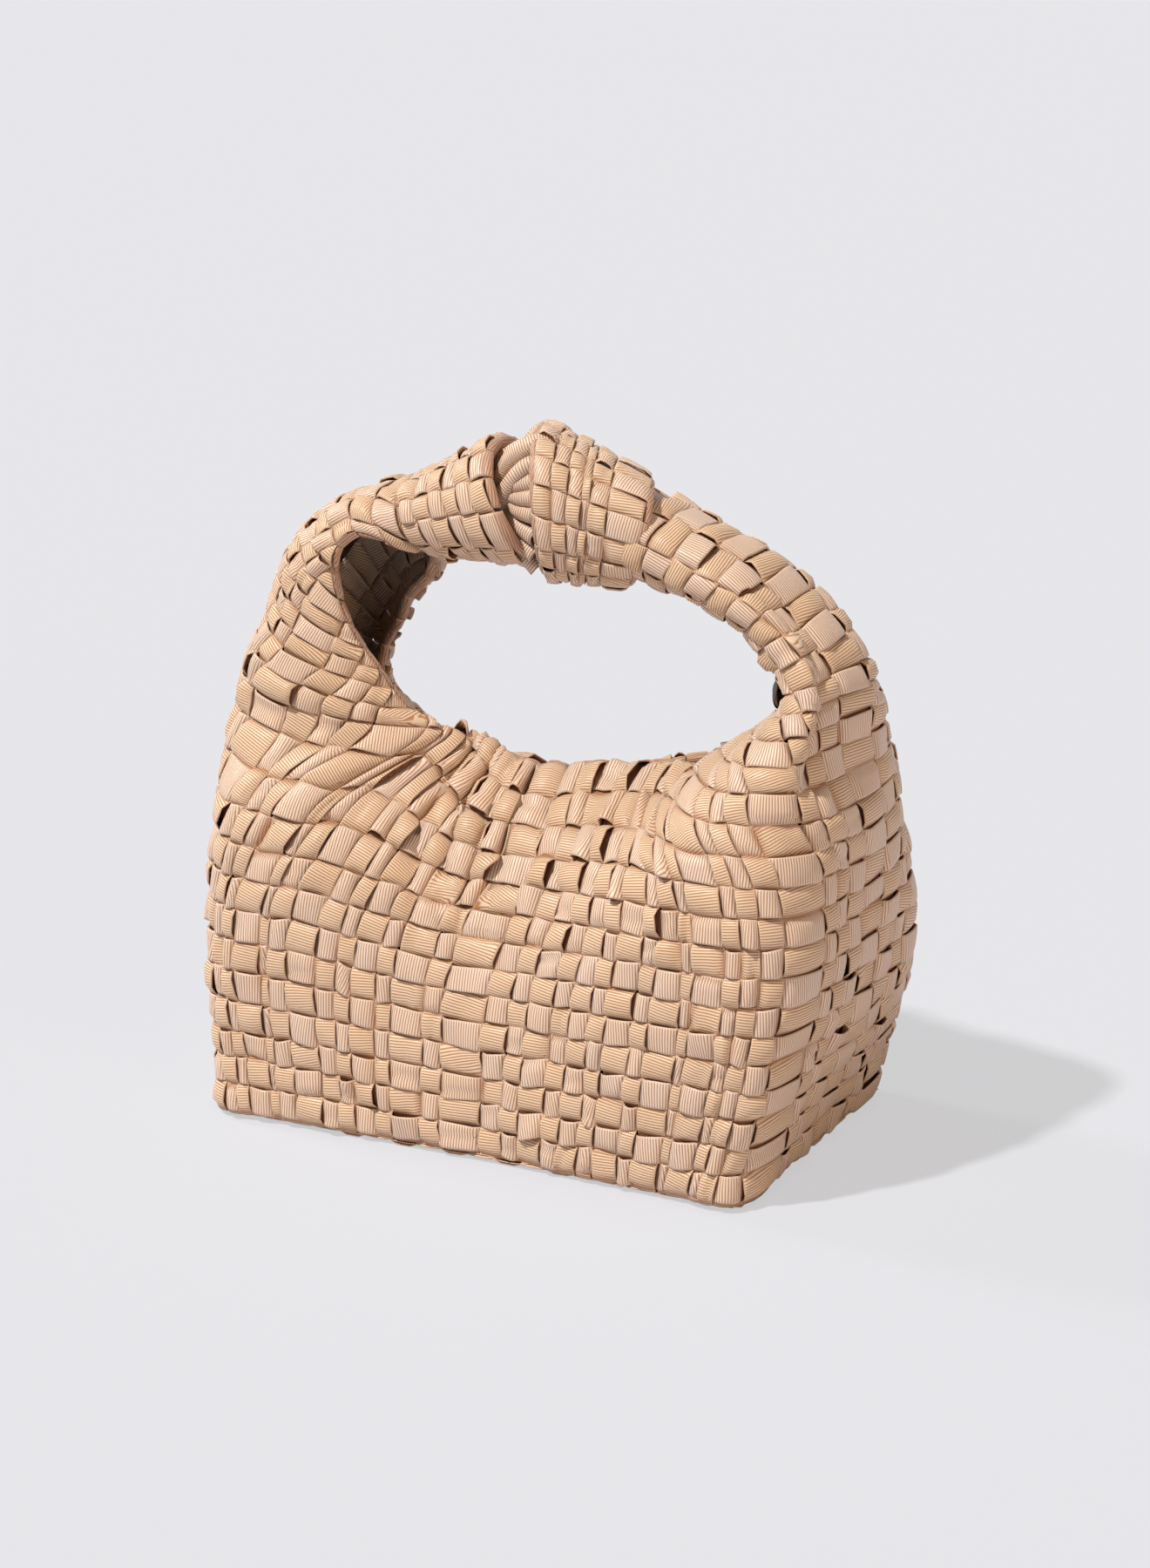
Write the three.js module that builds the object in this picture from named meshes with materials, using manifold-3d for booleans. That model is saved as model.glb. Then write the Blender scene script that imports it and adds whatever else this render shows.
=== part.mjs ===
// A small handbag woven from grosgrain ribbon, with a knotted handle.
// The woven sheet of each side runs up from the base, narrows at the root of the handle,
// folds round into a tube and meets the other side's tube in a knot.
// Millimetres, +Z up, the front faces -Y and the origin is under the middle of the base.
import * as THREE from "three";
import { mergeVertices } from "three/addons/utils/BufferGeometryUtils.js";
import Module from "manifold-3d";

const wasm = await Module();
wasm.setup();

// Body
const baseWidth = 210;
const baseDepth = 132;
const baseCorner = 31;
const bellyWidth = 236;
const bellyDepth = 126;
const bellyHeight = 75;
const bellyCorner = 38.5;
const collarWidth = 240;
const collarDepth = 108;
const collarHeight = 114;
const shoulderSpan = 174.5;
const shoulderDepth = 74;
const shoulderHeight = 139;
const frontRimDip = 10;
const backRimDip = 15;
const mouthGap = 18;

// Handle: the right arm is rolled shut, the left one is an open fold that is thicker
const rootSpan = 191;
const rootHeight = 168;
const rootThickness = 28;
const rootDepth = 60;
const bendSpan = 173;
const bendHeight = 188.5;
const bendThickness = 26;
const bendDepth = 52;
const armSpan = 135;
const armHeight = 203;
const armThickness = 24;
const armDepth = 50;
const entrySpan = 86;
const entryHeight = 212;
const entryThickness = 29;
const entryDepth = 46;
const entryShift = 4.5;
const handleLean = 10;
const openSwell = 9;
const hingeHeight = 172;
const hornDrop = 8;
const seatMargin = 5;

// Knot
const knotCentre = -7;
const knotHeight = 221;
const knotSize = 54;
const knotDepth = 58;
const cuffSize = 50;
const cuffRecess = 14;
const wrapLength = 39;
const wrapShoulder = 3;
const wrapRecess = 9;
const crevice = 6;
const strandThickness = 13;

// Sheets
const weaveThickness = 3;
const liningThickness = 0.9;
const boardThickness = 2;
const bindingHeight = 3;
const clearance = 0.3;

// Magnetic snap
const snapDiameter = 14;
const snapHeight = 2.4;
const studDiameter = 6;
const studHeight = 1.4;
const postDiameter = 3;
const washerDiameter = 10;
const washerThickness = 0.7;
const bedding = 0.7;
const snapRise = 3;

const hands = { left: -1, right: 1 };
const sheetAcross = 16;
const panelAcross = 12;
const rootUp = 4;
const armAcross = 16;
const armUp = 12;
const panelUp = 8;
const tubeSides = 16;
const paddingUp = 8;
const paddingGap = 1.5;
const openLining = 0.25;
const openPadding = 0.55;
const rest = clearance;
const boardBottom = weaveThickness + rest;
const liningInset = weaveThickness + rest;
const liningBottom = boardBottom + boardThickness + rest;
const fillInset = liningInset + liningThickness + paddingGap;
const foldBlend = 0.25;
const radians = Math.PI / 180;

function mix(a, b, share) {
  return a + (b - a) * share;
}

// A station of one side's woven sheet. reach, height and tilt place its section and lean it
// inwards. thick is the half size outwards, flap and tail are the half sizes towards the mouth in
// the front and the back half, and deep is the half depth. square shapes the outer half of the
// section and pinch the half towards the mouth: 2 is an oval, more is boxy and less is pointed.
// front and back are the angles from the outer side at which the sheet's two edges lie.
function station(name, [reach, height, tilt], [thick, flap, tail], [deep, square, pinch], [front, back]) {
  return { name, reach, height, tilt, thick, flap, tail, deep, square, pinch, front, back };
}

function even(size) {
  return [size, size, size];
}

function baseStation() {
  const reach = baseWidth / 2 - baseCorner;
  return station("base", [reach, boardBottom, 0], even(baseCorner), [baseDepth / 2, 8, 8], [90, 90]);
}

// The left sheet stays open: its front part ends in a slanting edge that runs from the front rim
// up to the knot, and its back part goes on from the back rim.
function leftStations() {
  const belly = bellyWidth / 2 - bellyCorner;
  const collar = collarWidth / 2 - bellyCorner;
  const flank = mix(shoulderHeight, rootHeight, 0.45);
  const root = [rootThickness / 2 + openSwell, rootDepth / 2 + 1.2];
  const bend = [bendThickness / 2 + openSwell * 0.75, bendDepth / 2 + 2.2];
  const arm = [armThickness / 2 + openSwell * 0.55, armDepth / 2 + 1.5];
  return [
    baseStation(),
    station(
      "belly",
      [belly, bellyHeight, 0],
      even(bellyCorner),
      [bellyDepth / 2, 3.6, 3.6],
      [92, 92],
    ),
    station(
      "collar",
      [collar, collarHeight, 0],
      [bellyCorner, 40, 34],
      [collarDepth / 2, 3, 2.2],
      [120, 112],
    ),
    station(
      "shoulder",
      [shoulderSpan / 2 - handleLean / 3, shoulderHeight, 3],
      [35.8, 55.4, 9],
      [shoulderDepth / 2, 2.7, 1.7],
      [157, 135],
    ),
    station(
      "flank",
      [rootSpan / 2 - handleLean * 0.8, flank, 10],
      [27.8, 49.2, 13.3],
      [shoulderDepth / 2, 2.5, 1.8],
      [152, 126],
    ),
    station(
      "root",
      [rootSpan / 2 - handleLean, rootHeight + handleLean * 0.25, 20],
      [root[0], 43.8, 24],
      [root[1], 2.4, 1.9],
      [135, 138],
    ),
    station(
      "bend",
      [bendSpan / 2 - handleLean * 0.76, bendHeight + handleLean * 0.36, 38],
      [bend[0], 32.5, 27],
      [bend[1], 2.3, 2.2],
      [111, 156],
    ),
    station(
      "arm",
      [armSpan / 2 - handleLean * 0.52, armHeight + handleLean * 0.31, 53],
      [arm[0], 16, 24.7],
      [arm[1], 2.2, 2.2],
      [82, 165],
    ),
    station(
      "entry",
      [entrySpan / 2 + entryShift, entryHeight, 68],
      even(entryThickness / 2),
      [entryDepth / 2, 2.2, 2.2],
      [150, 178],
    ),
  ];
}

// The right sheet is fuller at the belly and closes to a tube above the rims.
function rightStations() {
  const belly = bellyWidth / 2 - bellyCorner + 2.5;
  const collar = collarWidth / 2 - bellyCorner + 2;
  const corner = bellyCorner + 1;
  return [
    baseStation(),
    station(
      "belly",
      [belly, bellyHeight, 0],
      even(corner),
      [bellyDepth / 2 + 2, 4.2, 4.2],
      [92, 92],
    ),
    station(
      "collar",
      [collar, collarHeight, 0],
      even(corner),
      [collarDepth / 2 + 5, 3, 2.2],
      [116, 116],
    ),
    station(
      "shoulder",
      [shoulderSpan / 2 + handleLean / 3, shoulderHeight, 3],
      even(31.2),
      [shoulderDepth / 2 + 10.6, 2.7, 1.6],
      [152, 152],
    ),
    station(
      "root",
      [rootSpan / 2 + handleLean, rootHeight - handleLean * 0.2, 22],
      even(rootThickness / 2),
      [rootDepth / 2 - 1, 2.4, 1.9],
      [174, 174],
    ),
    station(
      "bend",
      [bendSpan / 2 + handleLean * 0.76, bendHeight - handleLean * 0.34, 38],
      even(bendThickness / 2),
      [bendDepth / 2 - 2, 2.3, 2.2],
      [174, 174],
    ),
    station(
      "arm",
      [armSpan / 2 + handleLean * 0.53, armHeight - handleLean * 0.31, 53],
      even(armThickness / 2),
      [armDepth / 2 - 1, 2.2, 2.2],
      [177, 177],
    ),
    station(
      "entry",
      [entrySpan / 2 - entryShift, entryHeight, 77],
      even(entryThickness / 2),
      [entryDepth / 2, 2.2, 2.2],
      [178, 178],
    ),
  ];
}

const fields = [
  "reach", "height", "tilt", "thick", "flap", "tail", "deep", "square", "pinch", "front", "back",
];

// Distance along a side's middle line at each station.
function stationDistances(stations) {
  const along = [0];
  for (let i = 1; i < stations.length; i += 1) {
    const run = stations[i].reach - stations[i - 1].reach;
    const rise = stations[i].height - stations[i - 1].height;
    along.push(along[i - 1] + Math.hypot(run, rise));
  }
  return along;
}

// Smooth value through the stations, with the slope at a station taken from its neighbours.
function smooth(values, along, distance) {
  const last = values.length - 1;
  let i = 0;
  while (i < last - 1 && distance > along[i + 1]) i += 1;
  const slope = (k) => {
    const low = Math.max(k - 1, 0);
    const high = Math.min(k + 1, last);
    return (values[high] - values[low]) / (along[high] - along[low]);
  };
  const span = along[i + 1] - along[i];
  const s = (distance - along[i]) / span;
  const s2 = s * s;
  const s3 = s2 * s;
  return (2 * s3 - 3 * s2 + 1) * values[i] + (s3 - 2 * s2 + s) * span * slope(i)
    + (3 * s2 - 2 * s3) * values[i + 1] + (s3 - s2) * span * slope(i + 1);
}

function makeSide(hand, stations) {
  const along = stationDistances(stations);
  const columns = fields.map((field) => stations.map((one) => one[field]));
  const at = (distance) => {
    const section = {};
    fields.forEach((field, i) => {
      section[field] = smooth(columns[i], along, distance);
    });
    return section;
  };
  const marks = Object.fromEntries(stations.map((one, i) => [one.name, along[i]]));
  return { hand, at, marks };
}

const sides = { left: makeSide(hands.left, leftStations()), right: makeSide(hands.right, rightStations()) };

// Point of a section at an angle from its outer side; inset moves it inwards. Flap and tail blend
// into each other over a narrow strip in the middle.
function sectionPoint(hand, section, angle, inset) {
  const cos = Math.cos(angle);
  const sin = Math.sin(angle);
  const power = cos > 0 ? section.square : section.pinch;
  const stretch = (Math.abs(cos) ** power + Math.abs(sin) ** power) ** (-1 / power);
  const behind = mix(section.flap, section.tail, THREE.MathUtils.smoothstep(sin, -foldBlend, foldBlend));
  const out = ((cos > 0 ? section.thick : behind) - inset) * cos * stretch;
  const tilt = section.tilt * radians;
  return new THREE.Vector3(
    hand * (section.reach + out * Math.cos(tilt)),
    (section.deep - inset) * sin * stretch,
    section.height + out * Math.sin(tilt),
  );
}

// Point of a side's sheet: across runs from -1 at the front edge to 1 at the back edge.
function sidePoint(side, distance, across, inset) {
  const section = side.at(distance);
  const angle = mix(-section.front, section.back, (across + 1) / 2) * radians;
  return sectionPoint(side.hand, section, angle, inset);
}

// Height and half depth of the front and back panels at the middle, by share of the rise.
const middleStations = {
  share: [0, 0.22, 0.55, 0.77, 0.9, 1],
  height: [0, 0.22, 0.56, 0.775, 0.905, 1],
  half: [0.95, 0.915, 0.765, 0.5, 0.27, 0],
};

function middlePoint(share, facing, inset) {
  const rim = shoulderHeight - (facing < 0 ? frontRimDip : backRimDip);
  const risen = smooth(middleStations.height, middleStations.share, share);
  const height = mix(boardBottom, rim, risen);
  const wide = baseDepth / 2 - mouthGap / 2;
  const half = mouthGap / 2 + wide * smooth(middleStations.half, middleStations.share, share);
  return new THREE.Vector3(0, facing * (half - inset), height);
}

function hermite(start, startSlope, finish, finishSlope, s) {
  const s2 = s * s;
  const s3 = s2 * s;
  return new THREE.Vector3()
    .addScaledVector(start, 2 * s3 - 3 * s2 + 1)
    .addScaledVector(startSlope, s3 - 2 * s2 + s)
    .addScaledVector(finish, 3 * s2 - 2 * s3)
    .addScaledVector(finishSlope, s3 - s2);
}

// Point of the front (facing -1) or back (facing 1) panel. share runs up from the base to the
// rim and across from -1 at the left side's edge to 1 at the right side's edge.
function panelPoint(share, across, facing, inset) {
  const edge = (side) => sidePoint(side, share * side.marks.shoulder, facing, inset);
  const slope = (side) => {
    const before = sidePoint(side, share * side.marks.shoulder, facing * 0.999, inset);
    return edge(side).sub(before).normalize();
  };
  const left = edge(sides.left);
  const right = edge(sides.right);
  const middle = middlePoint(share, facing, inset);
  const half = new THREE.Vector3((right.x - left.x) / 2, 0, (right.z - left.z) / 4);
  if (across < 0) {
    const run = middle.distanceTo(left);
    return hermite(left, slope(sides.left).multiplyScalar(run), middle, half, across + 1);
  }
  const run = middle.distanceTo(right);
  return hermite(middle, half, right, slope(sides.right).multiplyScalar(-run), across);
}

// A closed body from an indexed list of corners, turned so that its faces point out.
function bodyOf(points, triangles) {
  let volume = 0;
  for (const [a, b, c] of triangles) volume += points[a].dot(points[b].clone().cross(points[c]));
  const faces = volume < 0 ? triangles.map(([a, b, c]) => [a, c, b]) : triangles;
  const geometry = new THREE.BufferGeometry();
  const corners = points.flatMap((point) => point.toArray());
  geometry.setAttribute("position", new THREE.Float32BufferAttribute(corners, 3));
  geometry.setIndex(faces.flat());
  return geometry;
}

// A sheet between an outer and an inner grid of points, closed along its four edges.
function sheetBody(outer, inner) {
  const rows = outer.length;
  const columns = outer[0].length;
  const points = [...outer.flat(), ...inner.flat()];
  const out = (i, j) => i * columns + j;
  const into = (i, j) => rows * columns + out(i, j);
  const triangles = [];
  const quad = (a, b, c, d) => triangles.push([a, b, c], [a, c, d]);
  for (let i = 0; i < rows - 1; i += 1) {
    for (let j = 0; j < columns - 1; j += 1) {
      quad(out(i, j), out(i, j + 1), out(i + 1, j + 1), out(i + 1, j));
      quad(into(i, j), into(i + 1, j), into(i + 1, j + 1), into(i, j + 1));
    }
    quad(out(i, 0), out(i + 1, 0), into(i + 1, 0), into(i, 0));
    quad(out(i, columns - 1), into(i, columns - 1), into(i + 1, columns - 1), out(i + 1, columns - 1));
  }
  for (let j = 0; j < columns - 1; j += 1) {
    quad(out(0, j), into(0, j), into(0, j + 1), out(0, j + 1));
    quad(out(rows - 1, j), out(rows - 1, j + 1), into(rows - 1, j + 1), into(rows - 1, j));
  }
  return bodyOf(points, triangles);
}

// A body through a run of rings, with a flat fan over the first and the last ring.
function ringBody(rings) {
  const sides = rings[0].length;
  const points = rings.flat();
  const centre = (ring) => ring.reduce((sum, p) => sum.add(p), new THREE.Vector3()).divideScalar(sides);
  const first = points.push(centre(rings[0])) - 1;
  const last = points.push(centre(rings[rings.length - 1])) - 1;
  const triangles = [];
  for (let j = 0; j < sides; j += 1) {
    const k = (j + 1) % sides;
    for (let i = 0; i < rings.length - 1; i += 1) {
      const a = i * sides;
      const b = a + sides;
      triangles.push([a + j, a + k, b + k], [a + j, b + k, b + j]);
    }
    const end = (rings.length - 1) * sides;
    triangles.push([first, k, j], [last, end + j, end + k]);
  }
  return bodyOf(points, triangles);
}

function solidOf(geometry) {
  const plain = geometry.clone();
  plain.deleteAttribute("normal");
  plain.deleteAttribute("uv");
  const merged = mergeVertices(plain, 1e-4);
  const mesh = new wasm.Mesh({
    numProp: 3,
    vertProperties: new Float32Array(merged.attributes.position.array),
    triVerts: new Uint32Array(merged.index.array),
  });
  return new wasm.Manifold(mesh);
}

function geometryOf(solid) {
  const mesh = solid.getMesh();
  const geometry = new THREE.BufferGeometry();
  geometry.setAttribute("position", new THREE.Float32BufferAttribute(mesh.vertProperties, 3));
  geometry.setIndex(Array.from(mesh.triVerts));
  return geometry;
}

function steps(from, to, count) {
  return Array.from({ length: count + 1 }, (_, i) => mix(from, to, i / count));
}

// The sheet of one side over a run of distances; upTo ends it short of the back edge, on one of
// the full sheet's columns.
function sideSheet(side, rows, columns, inset, thickness, upTo = 1) {
  const used = Math.round((columns * (upTo + 1)) / 2);
  const grid = (depth) => rows.map((distance) => (
    steps(-1, upTo, used).map((across) => sidePoint(side, distance, across, depth))
  ));
  return sheetBody(grid(inset), grid(inset + thickness));
}

// The sheet of the front or back panel, standing clear of the side sheets' edges.
function panelSheet(facing, rows, inset, thickness) {
  const seam = (share, hand) => {
    const run = panelPoint(share, hand, facing, inset).distanceTo(panelPoint(share, 0, facing, inset));
    return hand * (1 - clearance / run);
  };
  const grid = (depth) => rows.map((share) => (
    steps(seam(share, hands.left), seam(share, hands.right), panelAcross).map((across) => (
      panelPoint(share, across, facing, depth)
    ))
  ));
  return sheetBody(grid(inset), grid(inset + thickness));
}

// The rows of a run that lie above a foot, with the foot as the first.
function rowsAbove(foot, rows) {
  const step = rows[1] - rows[0];
  return [foot, ...rows.filter((row) => row > foot + step / 3)];
}

// Outline of the foot of the walls at a height, moved inwards by an inset.
function footRing(inset, height) {
  const across = steps(-1, 1, sheetAcross);
  const between = steps(-1, 1, panelAcross).slice(1, -1);
  const outline = [
    ...across.map((share) => sidePoint(sides.right, 0, share, inset)),
    ...between.map((share) => panelPoint(0, -share, 1, inset)),
    ...across.map((share) => sidePoint(sides.left, 0, -share, inset)),
    ...between.map((share) => panelPoint(0, share, -1, inset)),
  ];
  return outline.map((point) => point.setZ(height));
}

function plate(inset, bottom, thickness) {
  return ringBody([footRing(inset, bottom), footRing(inset, bottom + thickness)]);
}

// Radius of the rounded seat between a side of the body and the foot of its handle arm.
function seatRadius(side) {
  let distance = side.marks.shoulder;
  while (side.at(distance).height < hingeHeight) distance += 0.5;
  return side.at(distance).deep;
}

function seatCylinder(side, radius) {
  const length = collarWidth / 2;
  const geometry = new THREE.CylinderGeometry(radius, radius, length, 72);
  geometry.rotateZ(Math.PI / 2);
  geometry.translate(side.hand * (length / 2 + rootThickness / 2), 0, hingeHeight);
  return solidOf(geometry);
}

function block(low, high) {
  const geometry = new THREE.BoxGeometry(4 * baseWidth, 4 * baseDepth, high - low);
  geometry.translate(0, 0, (low + high) / 2);
  return solidOf(geometry);
}

// What stays with the body: everything under the seat, with blunt horns beside it.
function belowSeat(side, geometry) {
  const kept = solidOf(geometry)
    .subtract(seatCylinder(side, seatRadius(side) + clearance))
    .subtract(block(hingeHeight - hornDrop, 2 * hingeHeight));
  return geometryOf(kept);
}

// What moves with the handle: everything inside the seat and above it.
function aboveSeat(side, geometry) {
  const under = block(-baseDepth, hingeHeight).subtract(seatCylinder(side, seatRadius(side)));
  return geometryOf(solidOf(geometry).subtract(under));
}

// Distance along a side at which its middle line reaches a height.
function distanceAt(side, height) {
  let distance = 0;
  while (side.at(distance).height < height) distance += 0.25;
  return distance;
}

function paddingBody(side, from) {
  const rings = steps(from, side.marks.entry - rest, paddingUp).map((distance) => (
    steps(0, 1, tubeSides).slice(0, -1).map((turn) => (
      sectionPoint(side.hand, side.at(distance), turn * 2 * Math.PI, fillInset)
    ))
  ));
  return ringBody(rings);
}

// An oval ring of the knot: x and z place its middle, lean tips its plane.
function knotRing(x, z, half, deep, lean, square = 2.2) {
  const tilt = lean * radians;
  return steps(0, 1, tubeSides).slice(0, -1).map((turn) => {
    const cos = Math.cos(turn * 2 * Math.PI);
    const sin = Math.sin(turn * 2 * Math.PI);
    const up = half * Math.sign(cos) * Math.abs(cos) ** (2 / square);
    const back = deep * Math.sign(sin) * Math.abs(sin) ** (2 / square);
    return new THREE.Vector3(x - up * Math.sin(tilt), back, z + up * Math.cos(tilt));
  });
}

// The left arm's sheet opens into a slanted cuff with a recess.
function cuffBody() {
  const half = cuffSize / 2;
  const deep = knotDepth / 2;
  const start = sides.left.at(sides.left.marks.entry);
  const lipX = knotCentre - crevice;
  const startX = -start.reach + clearance;
  const lean = 90 - start.tilt;
  const rings = [];
  for (const s of steps(0, 1, 6)) {
    rings.push(knotRing(
      mix(startX, lipX, s),
      mix(start.height, knotHeight, s),
      mix(start.thick, half, s),
      mix(start.deep, deep, s),
      lean,
    ));
  }
  for (const s of steps(0, 1, 3)) {
    rings.push(knotRing(
      lipX - cuffRecess * s,
      knotHeight - s * 2,
      (half - weaveThickness) * (1 - 0.3 * s * s),
      (deep - weaveThickness) * (1 - 0.3 * s * s),
      lean,
    ));
  }
  return ringBody(rings);
}

// The right arm vanishes into an upright wrap with columns running round it.
function wrapBody() {
  const half = knotSize / 2;
  const deep = knotDepth / 2;
  const start = sides.right.at(sides.right.marks.entry);
  const lipX = start.reach - wrapLength;
  const startX = start.reach - clearance;
  const lean = start.tilt - 90;
  const shoulderHalf = mix(start.thick, half, 0.5);
  const shoulderDeep = mix(start.deep, deep, 0.45);
  const rings = [];
  for (const s of steps(0, 1, 4)) {
    const angle = (s * Math.PI) / 2;
    rings.push(knotRing(
      startX - wrapShoulder * (1 - Math.cos(angle)),
      start.height,
      mix(start.thick, shoulderHalf, Math.sin(angle)),
      mix(start.deep, shoulderDeep, Math.sin(angle)),
      lean,
    ));
  }
  for (const s of steps(0, 1, 6).slice(1)) {
    rings.push(knotRing(
      mix(startX - wrapShoulder, lipX, s),
      mix(start.height, knotHeight, s),
      mix(shoulderHalf, half, s),
      mix(shoulderDeep, deep, s),
      lean * (1 - s),
    ));
  }
  for (const s of steps(0, 1, 3)) {
    rings.push(knotRing(
      lipX + wrapRecess * s,
      knotHeight,
      (half - weaveThickness) * (1 - 0.2 * s * s),
      (deep - weaveThickness) * (1 - 0.2 * s * s),
      0,
    ));
  }
  return ringBody(rings);
}

// The strand that crosses the crevice between the cuff and the wrap.
function strandBody() {
  const half = knotSize / 2;
  const path = new THREE.CatmullRomCurve3([
    new THREE.Vector3(knotCentre - 26, 2, knotHeight - half * 0.45),
    new THREE.Vector3(knotCentre - 13, -7, knotHeight - half * 0.05),
    new THREE.Vector3(knotCentre - 4, -8, knotHeight + half * 0.35),
    new THREE.Vector3(knotCentre + 9, -2, knotHeight + half * 0.4),
    new THREE.Vector3(knotCentre + 18, 4, knotHeight + half * 0.2),
  ]);
  const section = new THREE.Shape();
  section.absellipse(0, 0, strandThickness / 2, strandThickness, 0, 2 * Math.PI);
  const geometry = new THREE.ExtrudeGeometry(section, {
    steps: 14, bevelEnabled: false, extrudePath: path, curveSegments: 10,
  });
  return geometry;
}

function knotBody() {
  const joined = solidOf(cuffBody()).add(solidOf(wrapBody())).add(solidOf(strandBody()));
  return geometryOf(joined);
}

// Half of the magnetic snap: a domed disc with a boss or a socket, and a post behind the stud.
function snapProfile(stud) {
  const radius = snapDiameter / 2;
  const inner = studDiameter / 2 + (stud ? 0 : clearance);
  const edge = snapHeight * 0.6;
  const points = stud
    ? [[0, -washerReach], [postDiameter / 2, -washerReach], [postDiameter / 2, 0]]
    : [[0, 0]];
  points.push([radius - 0.4, 0], [radius, 0.4], [radius, edge]);
  points.push([radius - 0.8, edge + 0.6], [radius - 2, snapHeight], [inner + 0.2, snapHeight]);
  const level = snapHeight + (stud ? studHeight : -studHeight);
  points.push([inner, snapHeight + (stud ? 0.2 : -0.2)], [inner - (stud ? 0.4 : 0), level], [0, level]);
  return points.map(([x, y]) => new THREE.Vector2(x, y));
}

// Turns a piece towards the hand gap, off a point on one side's section.
function placeSnap(piece, side, distance, angle, offset) {
  const point = (at) => sectionPoint(side.hand, side.at(at), angle, 0);
  const along = point(distance + 1).sub(point(distance - 1)).normalize();
  const facing = new THREE.Vector3(-along.z, 0, along.x).multiplyScalar(side.hand);
  piece.position.copy(point(distance)).addScaledVector(facing, offset);
  piece.quaternion.setFromUnitVectors(new THREE.Vector3(0, 1, 0), facing);
  piece.updateMatrix();
  return facing;
}

// How far a face rises under a snap half's disc, because the arm curves there.
function faceRise(side, distance, angle) {
  const place = new THREE.Object3D();
  const facing = placeSnap(place, side, distance, angle, 0);
  const reach = steps(distance - snapDiameter, distance + snapDiameter, 24);
  const offsets = reach.map((at) => sectionPoint(side.hand, side.at(at), angle, 0).sub(place.position));
  const inDisc = offsets.filter((offset) => offset.length() < snapDiameter / 2 + clearance);
  return Math.max(0, ...inDisc.map((offset) => offset.dot(facing)));
}

// The hole that the stud's post leaves in the sheets of the right arm.
function pierced(geometry) {
  const hole = postDiameter / 2 + clearance;
  const drill = new THREE.CylinderGeometry(hole, hole, 2 * washerReach, 16);
  const place = new THREE.Object3D();
  placeSnap(place, sides.right, studDistance, Math.PI, 0);
  drill.applyMatrix4(place.matrix);
  return geometryOf(solidOf(geometry).subtract(solidOf(drill)));
}

function turned(points) {
  return new THREE.LatheGeometry(points, 24);
}

const finishes = {
  ribbon: new THREE.MeshStandardMaterial({ color: 0xd9ab7c, roughness: 0.62, metalness: 0 }),
  lining: new THREE.MeshStandardMaterial({ color: 0x3a2c28, roughness: 0.85, metalness: 0 }),
  board: new THREE.MeshStandardMaterial({ color: 0x8c7a66, roughness: 0.9, metalness: 0 }),
  padding: new THREE.MeshStandardMaterial({ color: 0xe8e2d8, roughness: 0.95, metalness: 0 }),
  gunmetal: new THREE.MeshStandardMaterial({ color: 0x55524f, roughness: 0.35, metalness: 1 }),
};

const bag = new THREE.Group();

function add(name, geometry, finish) {
  const mesh = new THREE.Mesh(geometry, finishes[finish]);
  mesh.name = name;
  bag.add(mesh);
  return mesh;
}

const studDistance = sides.right.marks.root + snapRise;
const studBedding = clearance + bedding / 2 + faceRise(sides.right, studDistance, Math.PI);
const washerReach = studBedding + liningInset + liningThickness + bedding + washerThickness + rest;
const socketDistance = sides.left.marks.bend;
const socketBedding = liningInset + liningThickness + bedding + faceRise(sides.left, socketDistance, 0);
const bindingShare = 1 - (bindingHeight + clearance) / shoulderHeight;
const liningFoot = distanceAt(sides.left, liningBottom + liningThickness + rest);
const liningShare = liningFoot / sides.left.marks.shoulder;

// Rows of the body's sheets as shares of the rise from the base to the rim; the rim binding
// stands on the last row but two.
const bindingFrom = bindingShare + clearance / shoulderHeight;
const panelRows = steps(0, bindingShare, panelUp);
const bodyShares = [...panelRows, bindingFrom, 1];

function addBody() {
  add("woven_base", plate(0, 0, weaveThickness), "ribbon");
  add("base_board", plate(liningInset, boardBottom, boardThickness), "board");
  add("lining_base", plate(liningInset, liningBottom, liningThickness), "lining");
  for (const [word, side] of Object.entries(sides)) {
    const top = distanceAt(side, hingeHeight);
    const rows = [
      ...bodyShares.map((share) => share * side.marks.shoulder),
      ...steps(side.marks.shoulder, top, rootUp).slice(1),
    ];
    const weave = sideSheet(side, rows, sheetAcross, 0, weaveThickness);
    add(`woven_${word}_side`, belowSeat(side, weave), "ribbon");
    const foot = liningShare * side.marks.shoulder;
    const skin = sideSheet(side, rowsAbove(foot, rows), sheetAcross, liningInset, liningThickness);
    add(`lining_${word}_side`, belowSeat(side, skin), "lining");
  }
  for (const [word, facing] of [["front", -1], ["back", 1]]) {
    add(`woven_${word}_panel`, panelSheet(facing, panelRows, 0, weaveThickness), "ribbon");
    const skin = panelSheet(facing, rowsAbove(liningShare, panelRows), liningInset, liningThickness);
    add(`lining_${word}_panel`, skin, "lining");
    const deep = liningInset + liningThickness;
    add(`${word}_rim_binding`, panelSheet(facing, [bindingFrom, 1], 0, deep), "ribbon");
  }
}

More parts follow.
